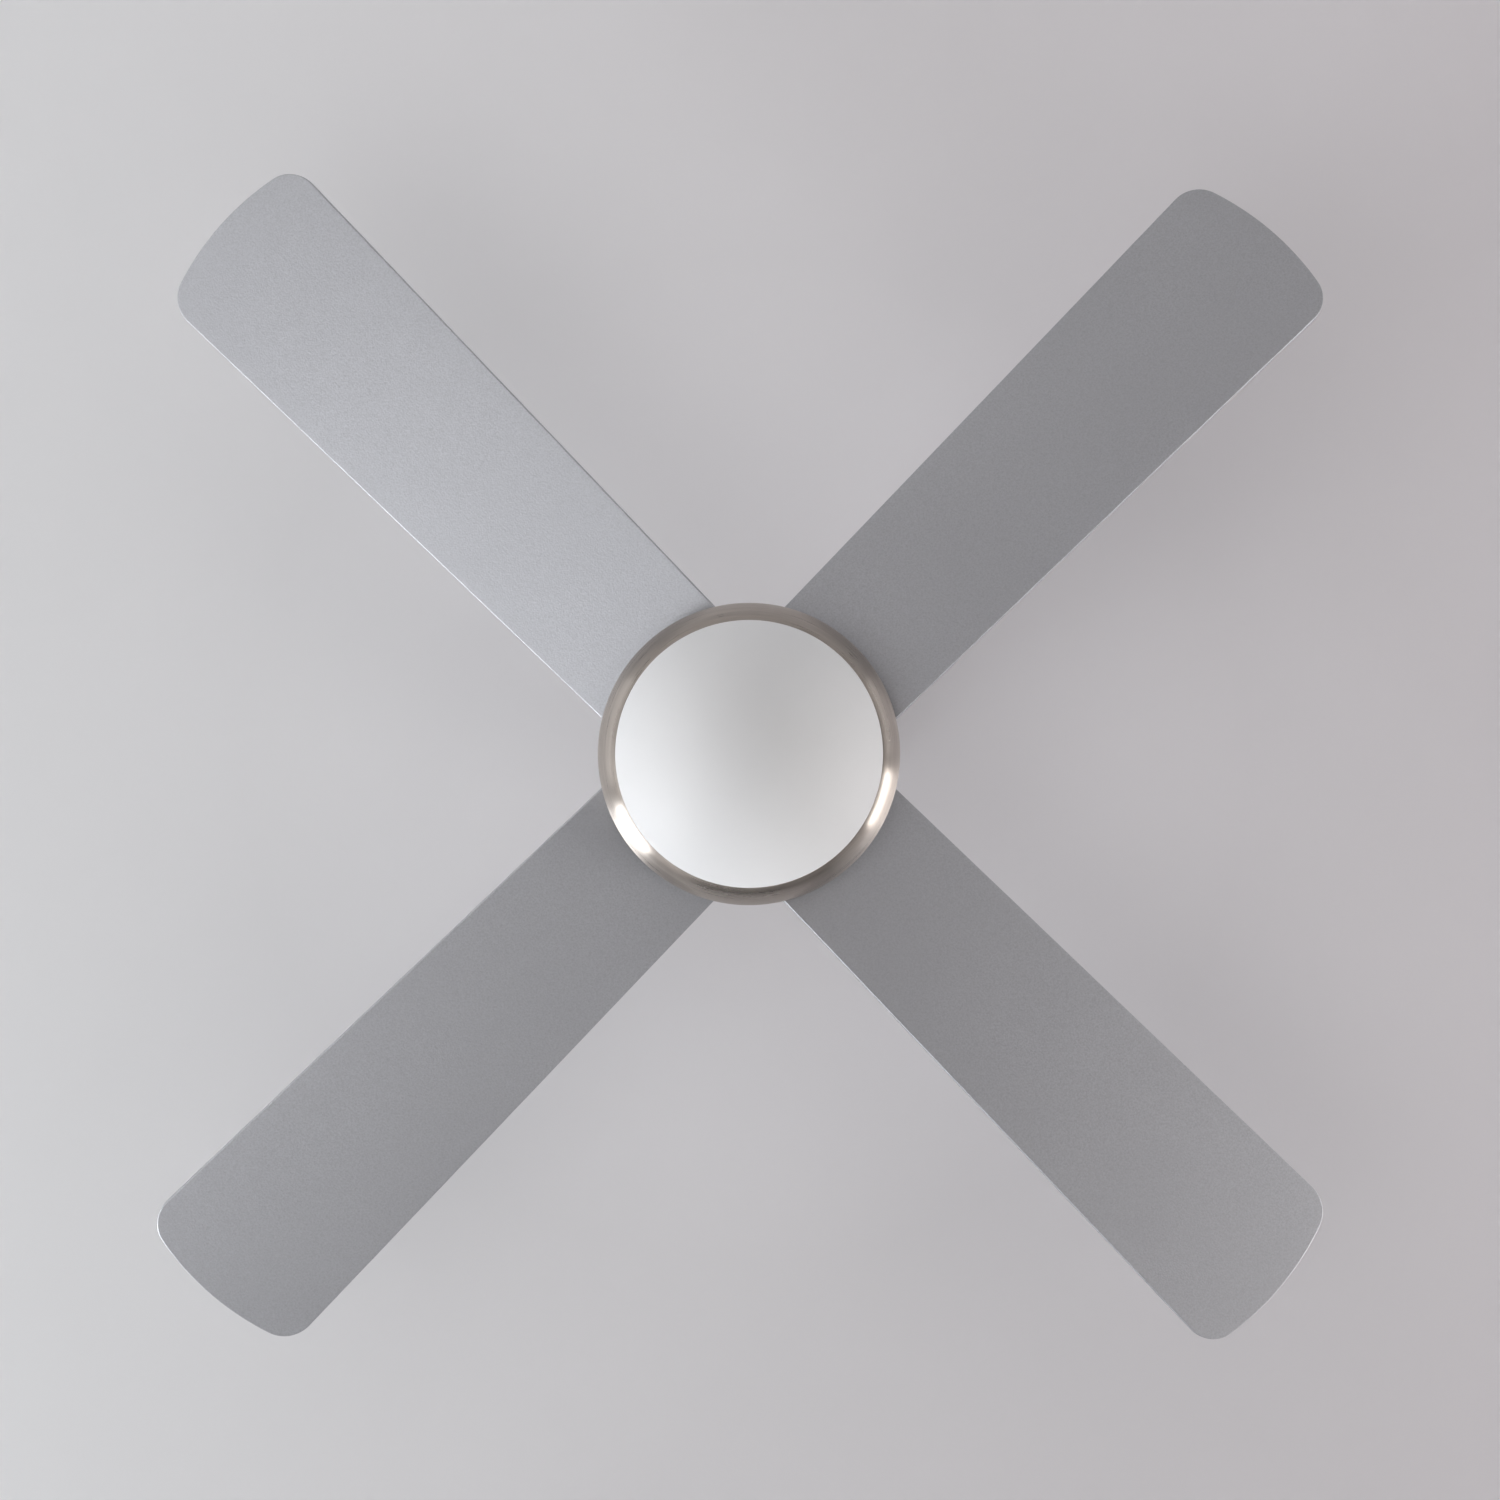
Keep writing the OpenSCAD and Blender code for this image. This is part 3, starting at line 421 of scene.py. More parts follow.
def shade(mesh, sharp_angle=35):
    """Smooth shading, broken at edges sharper than the angle."""
    work = bmesh.new()
    work.from_mesh(mesh)
    bmesh.ops.recalc_face_normals(work, faces=work.faces)
    for face in work.faces:
        face.smooth = True
    for edge in work.edges:
        edge.smooth = edge.calc_face_angle(0.0) < math.radians(sharp_angle)
    work.to_mesh(mesh)
    work.free()


def ellipse(centre, rx, ry, start, end, steps=24):
    """Points along an arc of an ellipse, with angles in degrees."""
    angles = [math.radians(start + (end - start) * i / steps) for i in range(steps + 1)]
    return [(centre[0] + rx * math.cos(a), centre[1] + ry * math.sin(a)) for a in angles]


def lathe(name, profile, segments=192):
    """A mesh turned about the fan axis from a closed outline of (radius, height) points."""
    work = bmesh.new()
    rings = []
    for r, z in profile:
        if r < 1e-6:
            centre = work.verts.new((0, 0, z))
            rings.append([centre] * segments)
            continue
        angles = [2 * math.pi * i / segments for i in range(segments)]
        rings.append([work.verts.new((r * math.cos(a), r * math.sin(a), z)) for a in angles])
    for low, high in zip(rings, rings[1:] + rings[:1]):
        for i in range(segments):
            j = (i + 1) % segments
            corners = [low[i], low[j], high[j], high[i]]
            face = [v for k, v in enumerate(corners) if v not in corners[:k]]
            if len(face) > 2:
                work.faces.new(face)
    mesh = bpy.data.meshes.new(name)
    work.to_mesh(mesh)
    work.free()
    shade(mesh)
    return mesh


def arc_points(centre, radius, start, end, steps):
    """Points of an arc, with angles in radians."""
    return [(centre[0] + radius * math.cos(start + (end - start) * i / steps),
             centre[1] + radius * math.sin(start + (end - start) * i / steps)) for i in range(steps + 1)]


def circle_points(radius, steps=32, centre=(0, 0)):
    return arc_points(centre, radius, 0, 2 * math.pi, steps)[:-1]


def rounded_rectangle(half_x, half_y, corner, steps=6):
    """An outline about the origin, anticlockwise."""
    points = []
    for quarter, (sx, sy) in enumerate(((1, 1), (-1, 1), (-1, -1), (1, -1))):
        centre = (sx * (half_x - corner), sy * (half_y - corner))
        start = quarter * math.pi / 2
        points += arc_points(centre, corner, start, start + math.pi / 2, steps)
    return points


def prism(outline, low, high, taper=1.0):
    """A closed bmesh prism over an outline, whose lower end may be scaled."""
    work = bmesh.new()
    bottom = [work.verts.new((x * taper, y * taper, low)) for x, y in outline]
    top = [work.verts.new((x, y, high)) for x, y in outline]
    work.faces.new(bottom[::-1])
    work.faces.new(top)
    for i in range(len(outline)):
        j = (i + 1) % len(outline)
        work.faces.new((bottom[i], bottom[j], top[j], top[i]))
    return work


def loft(sections):
    """A closed bmesh through rings of points, with a cap at each end."""
    work = bmesh.new()
    rings = [[work.verts.new(p) for p in section] for section in sections]
    count = len(rings[0])
    for first, second in zip(rings, rings[1:]):
        for i in range(count):
            j = (i + 1) % count
            work.faces.new((first[i], first[j], second[j], second[i]))
    work.faces.new(rings[0][::-1])
    work.faces.new(rings[-1])
    bmesh.ops.recalc_face_normals(work, faces=work.faces)
    return work


def to_mesh(work, name, matrix=None):
    mesh = bpy.data.meshes.new(name)
    work.to_mesh(mesh)
    work.free()
    if matrix is not None:
        mesh.transform(matrix)
    return mesh


def joined(name, meshes):
    """One mesh out of several."""
    work = bmesh.new()
    for mesh in meshes:
        work.from_mesh(mesh)
    return to_mesh(work, name)


def copies(name, mesh, matrices):
    placed = []
    for matrix in matrices:
        one = mesh.copy()
        one.transform(matrix)
        placed.append(one)
    return joined(name, placed)


def carved(mesh, cutters):
    """The mesh with every cutter taken out of it."""
    scene_objects = bpy.context.scene.collection.objects
    holder = bpy.data.objects.new(mesh.name, mesh)
    tool = bpy.data.objects.new("cutter", joined("cutter", cutters))
    for obj in (holder, tool):
        scene_objects.link(obj)
    modifier = holder.modifiers.new("carve", "BOOLEAN")
    modifier.operation = "DIFFERENCE"
    modifier.solver = "EXACT"
    modifier.object = tool
    bpy.context.view_layer.update()
    graph = bpy.context.evaluated_depsgraph_get()
    result = bpy.data.meshes.new_from_object(holder.evaluated_get(graph))
    result.name = mesh.name
    for obj in (holder, tool):
        bpy.data.objects.remove(obj)
    shade(result)
    return result


def around(count, radius, z, first=0.0):
    """Matrices at even angles on a circle about the fan axis, each with its own +X outwards."""
    places = []
    for i in range(count):
        turn = Matrix.Rotation(math.radians(first + i * 360 / count), 4, "Z")
        places.append(turn @ Matrix.Translation((radius, 0, z)))
    return places


# ---- Shells of the light ----

def nickel_bowl():
    """The brushed bowl: a short band at the rim, a quarter-oval wall and an inner flange."""
    outer = radius_of("lower_bowl")
    rim = top_of("lower_bowl")
    lip = bottom_of("lower_bowl")
    lip_r = radius_of("glass_shade") - 0.5 * MM
    band = rim - 4 * MM
    rx = outer - lip_r
    ry = band - lip
    flange_low = top_of("light_pan") + GAP
    flange_high = flange_low + SHEET
    flange_r = 88 * MM

    def inner_angle(z):
        return -math.degrees(math.asin((band - z) / (ry - SHEET)))

    edge = SHEET / 2
    centre = (lip_r, band)
    profile = ellipse(centre, rx, ry, 0, -87, 40)
    profile += ellipse((lip_r + 0.1 * MM, lip + edge), edge, edge, -90, -270, 8)
    profile += ellipse(centre, rx - SHEET, ry - SHEET, -86, inner_angle(flange_low), 14)
    profile += ellipse((flange_r + edge, (flange_low + flange_high) / 2), edge, edge, -90, -270, 8)
    profile += ellipse(centre, rx - SHEET, ry - SHEET, inner_angle(flange_high), 0, 20)
    profile += ellipse((outer - edge, rim - edge), edge, edge, 180, 0, 8)
    return link_piece("bowl_shell", lathe("bowl_shell", profile, 256), "hanging_frame", "brushed_nickel",
                      "lower_bowl")


def opal_dome():
    """The opal shade: neck, rolled shoulder and shallow dome, all one wall thick."""
    wall = 3 * MM
    wide = radius_of("glass_shade")
    neck = 105 * MM
    roll = 6 * MM
    top = top_of("glass_shade")
    bottom = bottom_of("glass_shade")
    wide_z = bottom_of("lower_bowl") - roll
    depth = wide_z - bottom
    roll_r = wide - roll
    cap_r = (roll_r ** 2 + depth ** 2 - roll ** 2) / (2 * (depth - roll))
    cap_z = bottom + cap_r
    meet = math.degrees(math.atan2(wide_z - cap_z, roll_r))
    neck_meet = 180 - math.degrees(math.acos((roll_r - neck) / roll))
    roll_centre = (roll_r, wide_z)
    half = wall / 2
    profile = ellipse(roll_centre, roll, roll, neck_meet, meet, 24)
    profile += ellipse((0, cap_z), cap_r, cap_r, meet - 0.8, -90, 60)
    profile += ellipse((0, cap_z), cap_r - wall, cap_r - wall, -90, meet - 0.8, 40)
    profile += ellipse(roll_centre, roll - wall, roll - wall, meet, 90, 10)
    bend = roll / 2
    profile += ellipse((neck - wall - bend, wide_z + roll - wall + bend), bend, bend, -60, 0, 6)
    profile += ellipse((neck - half, top - half), half, half, 180, 0, 10)
    return link_piece("opal_dome", lathe("opal_dome", profile, 256), "shade", "opal_glass", "glass_shade")


# ---- Nickel shells of the hanging side ----

def sheet_edge(r, z, start, end):
    """The half-round edge of a sheet, about a point in its middle."""
    return ellipse((r, z), SHEET / 2, SHEET / 2, start, end, 8)


def canopy_shell():
    """The canopy: a straight wall and a quarter-oval bottom, with rounded edges and two screw holes."""
    outer = radius_of("canopy")
    rim = top_of("canopy")
    low = bottom_of("canopy")
    flat_r = 20 * MM
    hole_r = 17 * MM
    wall_end = rim - 23 * MM
    rx = outer - flat_r
    ry = wall_end - low
    half = SHEET / 2
    centre = (flat_r, wall_end)
    profile = ellipse(centre, rx, ry, 0, -90, 48)
    profile += sheet_edge(hole_r + half, low + half, -90, -270)
    profile += ellipse(centre, rx - SHEET, ry - SHEET, -90, 0, 36)
    profile += sheet_edge(outer - half, rim - half, 180, 0)
    hole = prism(circle_points(2.3 * MM), -4 * MM, 4 * MM)
    across = Matrix.Translation((outer, 0, CANOPY_SCREW_Z)) @ Matrix.Rotation(math.pi / 2, 4, "Y")
    first = to_mesh(hole, "hole", across)
    second = first.copy()
    second.transform(Matrix.Rotation(math.pi, 4, "Z"))
    mesh = carved(lathe("canopy_shell", profile, 192), [first, second])
    return link_piece("canopy_shell", mesh, "ceiling_mount", "brushed_nickel", "canopy")


def canopy_trim():
    """The small domed ring under the canopy's hole."""
    high = top_of("canopy_ring")
    low = bottom_of("canopy_ring")
    outer = radius_of("canopy_ring")
    inner = 16.5 * MM
    edge = 0.6 * MM
    depth = high - low
    profile = ellipse((outer - depth, high), depth, depth, 0, -90, 16)
    profile += ellipse((inner + edge, low + edge), edge, edge, -90, -180, 6)
    profile += [(inner, high)]
    return link_piece("canopy_trim", lathe("canopy_trim", profile, 128), "ceiling_mount", "brushed_nickel",
                      "canopy_ring")


def rod():
    """The downrod: a tube with eased ends and two cross holes for its pins."""
    outer = radius_of("downrod")
    inner = outer - 2 * MM
    high = top_of("downrod")
    low = bottom_of("downrod")
    ease = 0.5 * MM
    profile = [(outer, high - ease), (outer, low + ease)]
    profile += ellipse((outer - ease, low + ease), ease, ease, -10, -90, 4)
    profile += ellipse((inner + ease, low + ease), ease, ease, -90, -180, 5)
    profile += ellipse((inner + ease, high - ease), ease, ease, 180, 90, 5)
    profile += ellipse((outer - ease, high - ease), ease, ease, 90, 10, 4)
    holes = []
    for z in ((top_of("ball_pin") + bottom_of("ball_pin")) / 2, low + 9 * MM):
        hole = prism(circle_points(3.05 * MM), -15 * MM, 15 * MM)
        across = Matrix.Translation((0, 0, z)) @ Matrix.Rotation(math.pi / 2, 4, "Y")
        holes.append(to_mesh(hole, "hole", across))
    mesh = carved(lathe("rod", profile, 96), holes)
    return link_piece("rod", mesh, "hanging_frame", "brushed_nickel", "downrod")


def yoke_cap():
    """The cover over the yoke: a half-egg that slides on the rod, with a short collar round it."""
    outer = radius_of("yoke_cover")
    low = bottom_of("yoke_cover")
    high = top_of("yoke_cover")
    bore = 11.1 * MM
    crown_r = 12 * MM
    waist = low + 9.95 * MM
    rx = outer - crown_r
    ry = high - waist
    half = SHEET / 2
    centre = (crown_r, waist)
    profile = ellipse((outer - half, low + half), half, half, -180, 0, 8)
    profile += ellipse(centre, rx, ry, 0, 76, 40)
    profile += [(crown_r + 3.6 * MM, high - 0.5 * MM)]
    profile += ellipse((crown_r + 2.2 * MM, high - 0.6 * MM), 0.9 * MM, 0.6 * MM, 10, 90, 5)
    profile += sheet_edge(bore + half, high - half, 90, 270)
    profile += ellipse(centre, rx - SHEET, ry - SHEET, 90, 0, 36)
    return link_piece("yoke_cap", lathe("yoke_cap", profile, 160), "hanging_frame", "brushed_nickel",
                      "yoke_cover")


def housing_shell():
    """The upper housing: a shallow dome, a straight wall with a hemmed rim, and the switch's slot."""
    outer = radius_of("upper_housing")
    top = top_of("upper_housing")
    rim = bottom_of("upper_housing")
    flat_r = 44 * MM
    bore = 17 * MM
    wall_top = rim + 16 * MM
    hem = 1.1 * MM
    rx = outer - flat_r
    ry = top - wall_top
    half = SHEET / 2
    centre = (flat_r, wall_top)
    profile = sheet_edge(bore + half, top - half, 270, 90)
    profile += ellipse(centre, rx, ry, 90, 0, 72)
    profile += ellipse((outer - hem, rim + hem), hem, hem, 0, -180, 14)
    profile += ellipse((outer - SHEET - hem / 2, rim + 2.2 * hem), hem, hem / 3, -150, -360, 8)[1:]
    profile += ellipse(centre, rx - SHEET, ry - SHEET, 0, 90, 60)
    reach = 4 * MM
    cutters = []
    face = Matrix.Translation((0, -outer, rim + SWITCH_RISE)) @ Matrix.Rotation(math.pi / 2, 4, "X")
    slot = rounded_rectangle(5.2 * MM, 2.6 * MM, 0.8 * MM)
    cutters.append(to_mesh(prism(slot, -reach, reach), "slot", face))
    for side in (-1, 1):
        hole = prism(circle_points(1.4 * MM, 24, (side * SWITCH_SCREW_X, 0)), -reach, reach)
        cutters.append(to_mesh(hole, "hole", face))
    for place_on_ring in around(3, HOUSING_SCREW_R, top):
        cutters.append(to_mesh(prism(circle_points(2.05 * MM), -reach, reach), "hole", place_on_ring))
    mesh = carved(lathe("housing_shell", profile, 256), cutters)
    return link_piece("housing_shell", mesh, "hanging_frame", "brushed_nickel", "upper_housing")


# ---- Screws ----

def cross_outline(reach, half):
    """A plus sign."""
    return [(reach, half), (half, half), (half, reach), (-half, reach), (-half, half), (-reach, half),
            (-reach, -half), (-half, -half), (-half, -reach), (half, -reach), (half, -half), (reach, -half)]


def pan_screw(size, length):
    """A pan-head screw with a tapered cross recess. The head sits on z = 0 and the shank points down."""
    head_r = 1.9 * size
    head_h = 1.2 * size
    crown = 0.4 * head_h
    ease = 0.12 * size
    profile = [(0, -length), (0.62 * size, -length), (size, -length + 0.5 * size), (size, 0)]
    profile += ellipse((head_r - ease, ease), ease, ease, -90, 0, 4)
    profile += ellipse((0, crown), head_r, head_h - crown, 0, 90, 12)
    profile[-1] = (0, head_h)
    recess = prism(cross_outline(0.95 * size, 0.19 * size), head_h - 0.8 * size, head_h + 0.2 * size, 0.6)
    return carved(lathe("screw", profile, 32), [to_mesh(recess, "recess")])


def seat(x, y, z, facing):
    """The matrix of a screw whose head sits at a place and faces one way."""
    return Matrix.Translation((x, y, z)) @ facing


def screws():
    """The cross-head screws of the canopy, housing, switch, rotor, arms and blades."""
    flange_t = 6 * MM
    ear_rise = 8 * MM
    washer_t = 1 * MM
    flip = Matrix.Rotation(math.pi, 4, "X")
    outwards = Matrix.Rotation(math.pi / 2, 4, "Y")
    forwards = Matrix.Rotation(math.pi / 2, 4, "X")
    canopy_r = radius_of("canopy") + GAP
    canopy_places = [Matrix.Rotation(turn, 4, "Z") @ seat(canopy_r, 0, CANOPY_SCREW_Z, outwards)
                     for turn in (0, math.pi)]
    switch_z = bottom_of("upper_housing") + SWITCH_RISE
    housing_y = -radius_of("upper_housing") + 2 * GAP
    switch_places = [seat(side * SWITCH_SCREW_X, housing_y, switch_z, forwards) for side in (-1, 1)]
    flange_z = top_of("upper_housing") + flange_t + 2 * GAP
    motor_z = (top_of("rotor_top_shell") + bottom_of("rotor_bottom_shell")) / 2
    ear_z = motor_z + ear_rise + GAP
    arm_low = bottom_of("rotor_bottom_shell") - 2 * ARM_HALF_T - 2 * GAP
    washer_low = -BLADE_T / 2 - washer_t - 2 * GAP
    arm_places = []
    blade_places = []
    for i in range(BLADE_COUNT):
        turn = blade_turn(i)
        for x, y in ARM_HOLES:
            arm_places.append(turn @ seat(x, y, arm_low, flip))
        for x, y in BLADE_HOLES:
            blade_places.append(blade_frame(i) @ seat(x, y, washer_low, flip))
    housing_places = around(3, HOUSING_SCREW_R, flange_z)
    rotor_places = around(4, ROTOR_SCREW_R, ear_z)
    steel = "bright_steel"
    groups = (
        ("canopy_screw_heads", "canopy_screws", "ceiling_mount", "brushed_nickel", 2, 10, canopy_places),
        ("switch_screw_heads", "reverse_switch_screws", "hanging_frame", steel, 1.25, 8, switch_places),
        ("housing_screw_heads", "housing_screws", "hanging_frame", steel, 2, 11, housing_places),
        ("rotor_screw_heads", "rotor_screws", "rotor", steel, 2, 16, rotor_places),
        ("arm_screw_heads", "arm_screws", "rotor", steel, 2.5, 7, arm_places),
        ("blade_screw_heads", "blade_screws", "rotor", "zinc_plated_steel", 2.5, 11, blade_places),
    )
    for name, node, body, slot, size, length, places in groups:
        mesh = copies(name, pan_screw(size * MM, length * MM), places)
        shade(mesh)
        link_piece(name, mesh, body, slot, node)


# ---- Blade arms ----

def smooth_step(value, start, end):
    t = min(max((value - start) / (end - start), 0), 1)
    return t * t * (3 - 2 * t)


def arm_half_width(s):
    """Half width of the arm at a radius: a tab with round corners, a neck, and a wider paddle."""
    tab = 20 * MM
    neck = 13 * MM
    paddle = 28 * MM
    near_start = max(ARM_CORNER - (s - ARM_START), 0)
    near_end = max(ARM_CORNER - (ARM_END - s), 0)
    width = tab + (neck - tab) * smooth_step(s, 78 * MM, 86 * MM)
    width += (paddle - neck) * smooth_step(s, 90 * MM, 99 * MM)
    for near in (near_start, near_end):
        width -= ARM_CORNER - math.sqrt(max(ARM_CORNER ** 2 - near ** 2, 0))
    return width


def arm_section(s):
    """Ring of points round the arm's plate at a radius, twisted towards the blade's pitch."""
    ease = 0.5 * MM
    tab_z = bottom_of("rotor_bottom_shell") - GAP - ARM_HALF_T
    paddle_rise = BLADE_T / 2 + GAP + ARM_HALF_T
    part = smooth_step(s, 82 * MM, 95 * MM)
    pitch = BLADE_PITCH * part
    paddle_y = paddle_rise * math.sin(BLADE_PITCH)
    paddle_z = BLADE_Z + paddle_rise * math.cos(BLADE_PITCH)
    centre = Vector((s, paddle_y * part, tab_z + (paddle_z - tab_z) * part))
    across = Vector((0, math.cos(pitch), -math.sin(pitch)))
    up = Vector((0, math.sin(pitch), math.cos(pitch)))
    outline = rounded_rectangle(arm_half_width(s), ARM_HALF_T, ease, 3)
    return [centre + across * v + up * w for v, w in outline]


def arm_stations():
    """Radii of the arm's sections: close together round its corners, and evenly over the neck."""
    blunt = 0.3 * MM
    corner_steps = [ARM_CORNER * (1 - math.cos(math.pi / 2 * i / 8)) for i in range(9)]
    neck_start = ARM_START + blunt + ARM_CORNER
    plain_start = ARM_END - 12.3 * MM
    stations = [ARM_START + blunt + d for d in corner_steps]
    stations += [neck_start + (plain_start - neck_start) * i / 60 for i in range(1, 60)]
    stations += [ARM_END - blunt - d for d in corner_steps[::-1]]
    return stations


def arm_mesh(name):
    """A stamped steel arm: level under the motor, twisted at its neck, and pitched on the blade."""
    body = to_mesh(loft([arm_section(s) for s in arm_stations()]), name)
    tab_z = bottom_of("rotor_bottom_shell")
    pitched = Matrix.Translation((0, 0, BLADE_Z)) @ Matrix.Rotation(-BLADE_PITCH, 4, "X")
    cutters = []
    for hole_at in ARM_HOLES:
        hole = prism(circle_points(2.7 * MM, 24, hole_at), tab_z - 6 * MM, tab_z + 2 * MM)
        cutters.append(to_mesh(hole, "hole"))
    for hole_at in BLADE_HOLES:
        hole = prism(circle_points(2.55 * MM, 24, hole_at), 0, 9 * MM)
        cutters.append(to_mesh(hole, "hole", pitched))
    return carved(body, cutters)


def blade_arms():
    for i in range(BLADE_COUNT):
        name = f"stamped_arm_{i + 1}"
        mesh = arm_mesh(name)
        mesh.transform(blade_turn(i))
        link_piece(name, mesh, "rotor", "zinc_plated_steel", f"blade_arm_{i + 1}")


# ---- Blades ----

def blade_turn(index):
    return Matrix.Rotation(BLADE_FIRST_ANGLE + index * 2 * math.pi / BLADE_COUNT, 4, "Z")


def blade_frame(index):
    """The matrix that takes a level blade along +X to its place."""
    return blade_turn(index) @ Matrix.Translation((0, 0, BLADE_Z)) @ Matrix.Rotation(-BLADE_PITCH, 4, "X")


def blade_outline():
    """The blade from above: straight sides that open outwards, round corners and a curved end."""
    root_r = 94 * MM
    root_half = 70.75 * MM
    tip_half = 84.25 * MM
    root_corner = 8 * MM
    tip_arc = 257 * MM
    corner = 28 * MM
    slope = (tip_half - root_half) / (SWEEP_R - root_r)
    side = math.hypot(1, slope)
    tip_c = SWEEP_R - tip_arc
    inset = root_half - slope * root_r - corner * side
    a = side ** 2
    b = 2 * (inset * slope - tip_c)
    c = tip_c ** 2 + inset ** 2 - (tip_arc - corner) ** 2
    corner_s = (-b + math.sqrt(b * b - 4 * a * c)) / (2 * a)
    corner_v = inset + slope * corner_s
    side_angle = math.pi / 2 + math.atan(slope)
    end_angle = math.atan2(corner_v, corner_s - tip_c)
    root_c = (root_r + root_corner, root_half - root_corner)
    points = arc_points((root_c[0], -root_c[1]), root_corner, math.pi, 1.5 * math.pi, 8)
    points += arc_points((corner_s, -corner_v), corner, -side_angle, -end_angle, 16)
    points += arc_points((tip_c, 0), tip_arc, -end_angle, end_angle, 48)[1:-1]
    points += arc_points((corner_s, corner_v), corner, end_angle, side_angle, 16)
    points += arc_points(root_c, root_corner, math.pi / 2, math.pi, 8)
    return points


def blade_mesh(name):
    """A blade with rounded edges and three screw holes, made as a flat curve with a bevel."""
    edge = 0.7 * MM
    hole_r = 2.75 * MM
    hole_steps = 32
    curve = bpy.data.curves.new(name, "CURVE")
    curve.dimensions = "2D"
    curve.fill_mode = "BOTH"
    outlines = [blade_outline()]
    outlines += [circle_points(hole_r, hole_steps, place_on_blade) for place_on_blade in BLADE_HOLES]
    for outline in outlines:
        spline = curve.splines.new("POLY")
        spline.points.add(len(outline) - 1)
        for point, (x, y) in zip(spline.points, outline):
            point.co = (x, y, 0, 1)
        spline.use_cyclic_u = True
    curve.extrude = BLADE_T / 2 - edge
    curve.bevel_depth = edge
    curve.offset = -edge
    curve.bevel_resolution = 3
    holder = bpy.data.objects.new(name, curve)
    bpy.context.scene.collection.objects.link(holder)
    bpy.context.view_layer.update()
    mesh = bpy.data.meshes.new_from_object(holder)
    bpy.data.objects.remove(holder)
    mesh.name = name
    work = bmesh.new()
    work.from_mesh(mesh)
    bmesh.ops.remove_doubles(work, verts=work.verts, dist=0.01 * MM)
    work.to_mesh(mesh)
    work.free()
    return mesh


def weigh_normals(piece):
    """Keeps big flat faces flat next to their rounded edges."""
    modifier = piece.modifiers.new("weigh_normals", "WEIGHTED_NORMAL")
    modifier.keep_sharp = True
    modifier.weight = 100


def blades():
    for i in range(BLADE_COUNT):
        name = f"blade_panel_{i + 1}"
        mesh = blade_mesh(name)
        mesh.transform(blade_frame(i))
        shade(mesh, 50)
        piece = link_piece(name, mesh, "rotor", "silver_blade", f"blade_{i + 1}")
        weigh_normals(piece)


# ---- CAD nodes that keep their shape ----

SOFT_EDGES = {
    0.35: ("hanger_bracket", "yoke", "rotor_top_shell", "rotor_bottom_shell", "hanger_ball", "capacitor",
           "light_pan", "lampholder_1", "lampholder_2", "shaft_nut"),
    0.2: ("terminal_block", "mounting_plate", "lampholder_bracket", "glass_ring", "reverse_switch_body",
          "reverse_switch_slider", "plate_spacers", "motor_shaft", "rotor_ring", "ball_pin", "clevis_pin",
          "upper_bearing_inner_ring", "upper_bearing_outer_ring", "lower_bearing_inner_ring",
          "lower_bearing_outer_ring", "blade_washers"),
}


def soften_cad_edges():
    """Rounds the sharp edges of CAD nodes with modifiers, so that they catch the light."""
    for width, names in SOFT_EDGES.items():
        for name in names:
            node = nodes[name]
            weld = node.modifiers.new("weld", "WELD")
            weld.merge_threshold = 0.002 * MM
            bevel = node.modifiers.new("soften", "BEVEL")
            bevel.width = width * MM
            bevel.segments = 2
            bevel.limit_method = "ANGLE"
            bevel.angle_limit = math.radians(40)
            weigh_normals(node)


# ---- Camera, light and stage ----

def camera():
    """On the fan axis under the fan, looking up, with +X to the right of the picture."""
    data = bpy.data.cameras.new("camera")
    obj = bpy.data.objects.new("camera", data)
    bpy.context.scene.collection.objects.link(obj)
    data.sensor_width = 36
    data.lens = 50.2872
    data.shift_x = -0.034867
    data.shift_y = -0.052
    data.clip_end = 100
    height_under_blades = 1848 * MM
    tilt_y = math.radians(-2.230)
    tilt_x = math.radians(1.448)
    roll = math.radians(-0.024)
    right = Vector((math.cos(tilt_x), 0, -math.sin(tilt_x)))
    level = Vector((math.sin(tilt_x), 0, math.cos(tilt_x)))
    forward = level * math.cos(tilt_y) + Vector((0, math.sin(tilt_y), 0))
    down = forward.cross(right)
    turn = Matrix.Rotation(roll, 3, forward)
    matrix = Matrix([turn @ right, turn @ -down, -forward]).transposed().to_4x4()
    matrix.translation = (0, 0, BLADE_Z - height_under_blades)
    obj.matrix_world = matrix
    bpy.context.scene.camera = obj


def stage_piece(name, mesh, material):
    mesh.materials.append(material)
    obj = bpy.data.objects.new(name, mesh)
    bpy.context.scene.collection.objects.link(obj)
    return obj


def disc(name, z, hole_r, edge_r, facing_up, material):
    """A level ring that faces down, or a whole disc that faces up."""
    steps = 96
    inner = [(x, y, z) for x, y in circle_points(hole_r, steps)]
    outer = [(x, y, z) for x, y in circle_points(edge_r, steps)]
    faces = [(i, (i + 1) % steps, steps + (i + 1) % steps, steps + i) for i in range(steps)]
    if facing_up:
        faces = [face[::-1] for face in faces]
        faces.append(tuple(range(steps)))
    mesh = bpy.data.meshes.new(name)
    mesh.from_pydata(inner + outer, [], faces)
    return stage_piece(name, mesh, material)


def ceiling():
    """A ceiling that can't be seen from above, with the hole of its box inside the canopy."""
    hole_r = radius_of("canopy") - 3 * MM
    plane_z = top_of("hanger_bracket") + 0.5 * MM
    edge_r = 3.6
    disc("ceiling", plane_z, hole_r, edge_r, False, ceiling_plaster())


def floor():
    inner_r = 1.0
    edge_r = 9.0
    material, _, _ = plaster("floor_plaster", (0.66, 0.64, 0.62))
    disc("floor", FLOOR_Z, inner_r, edge_r, True, material)


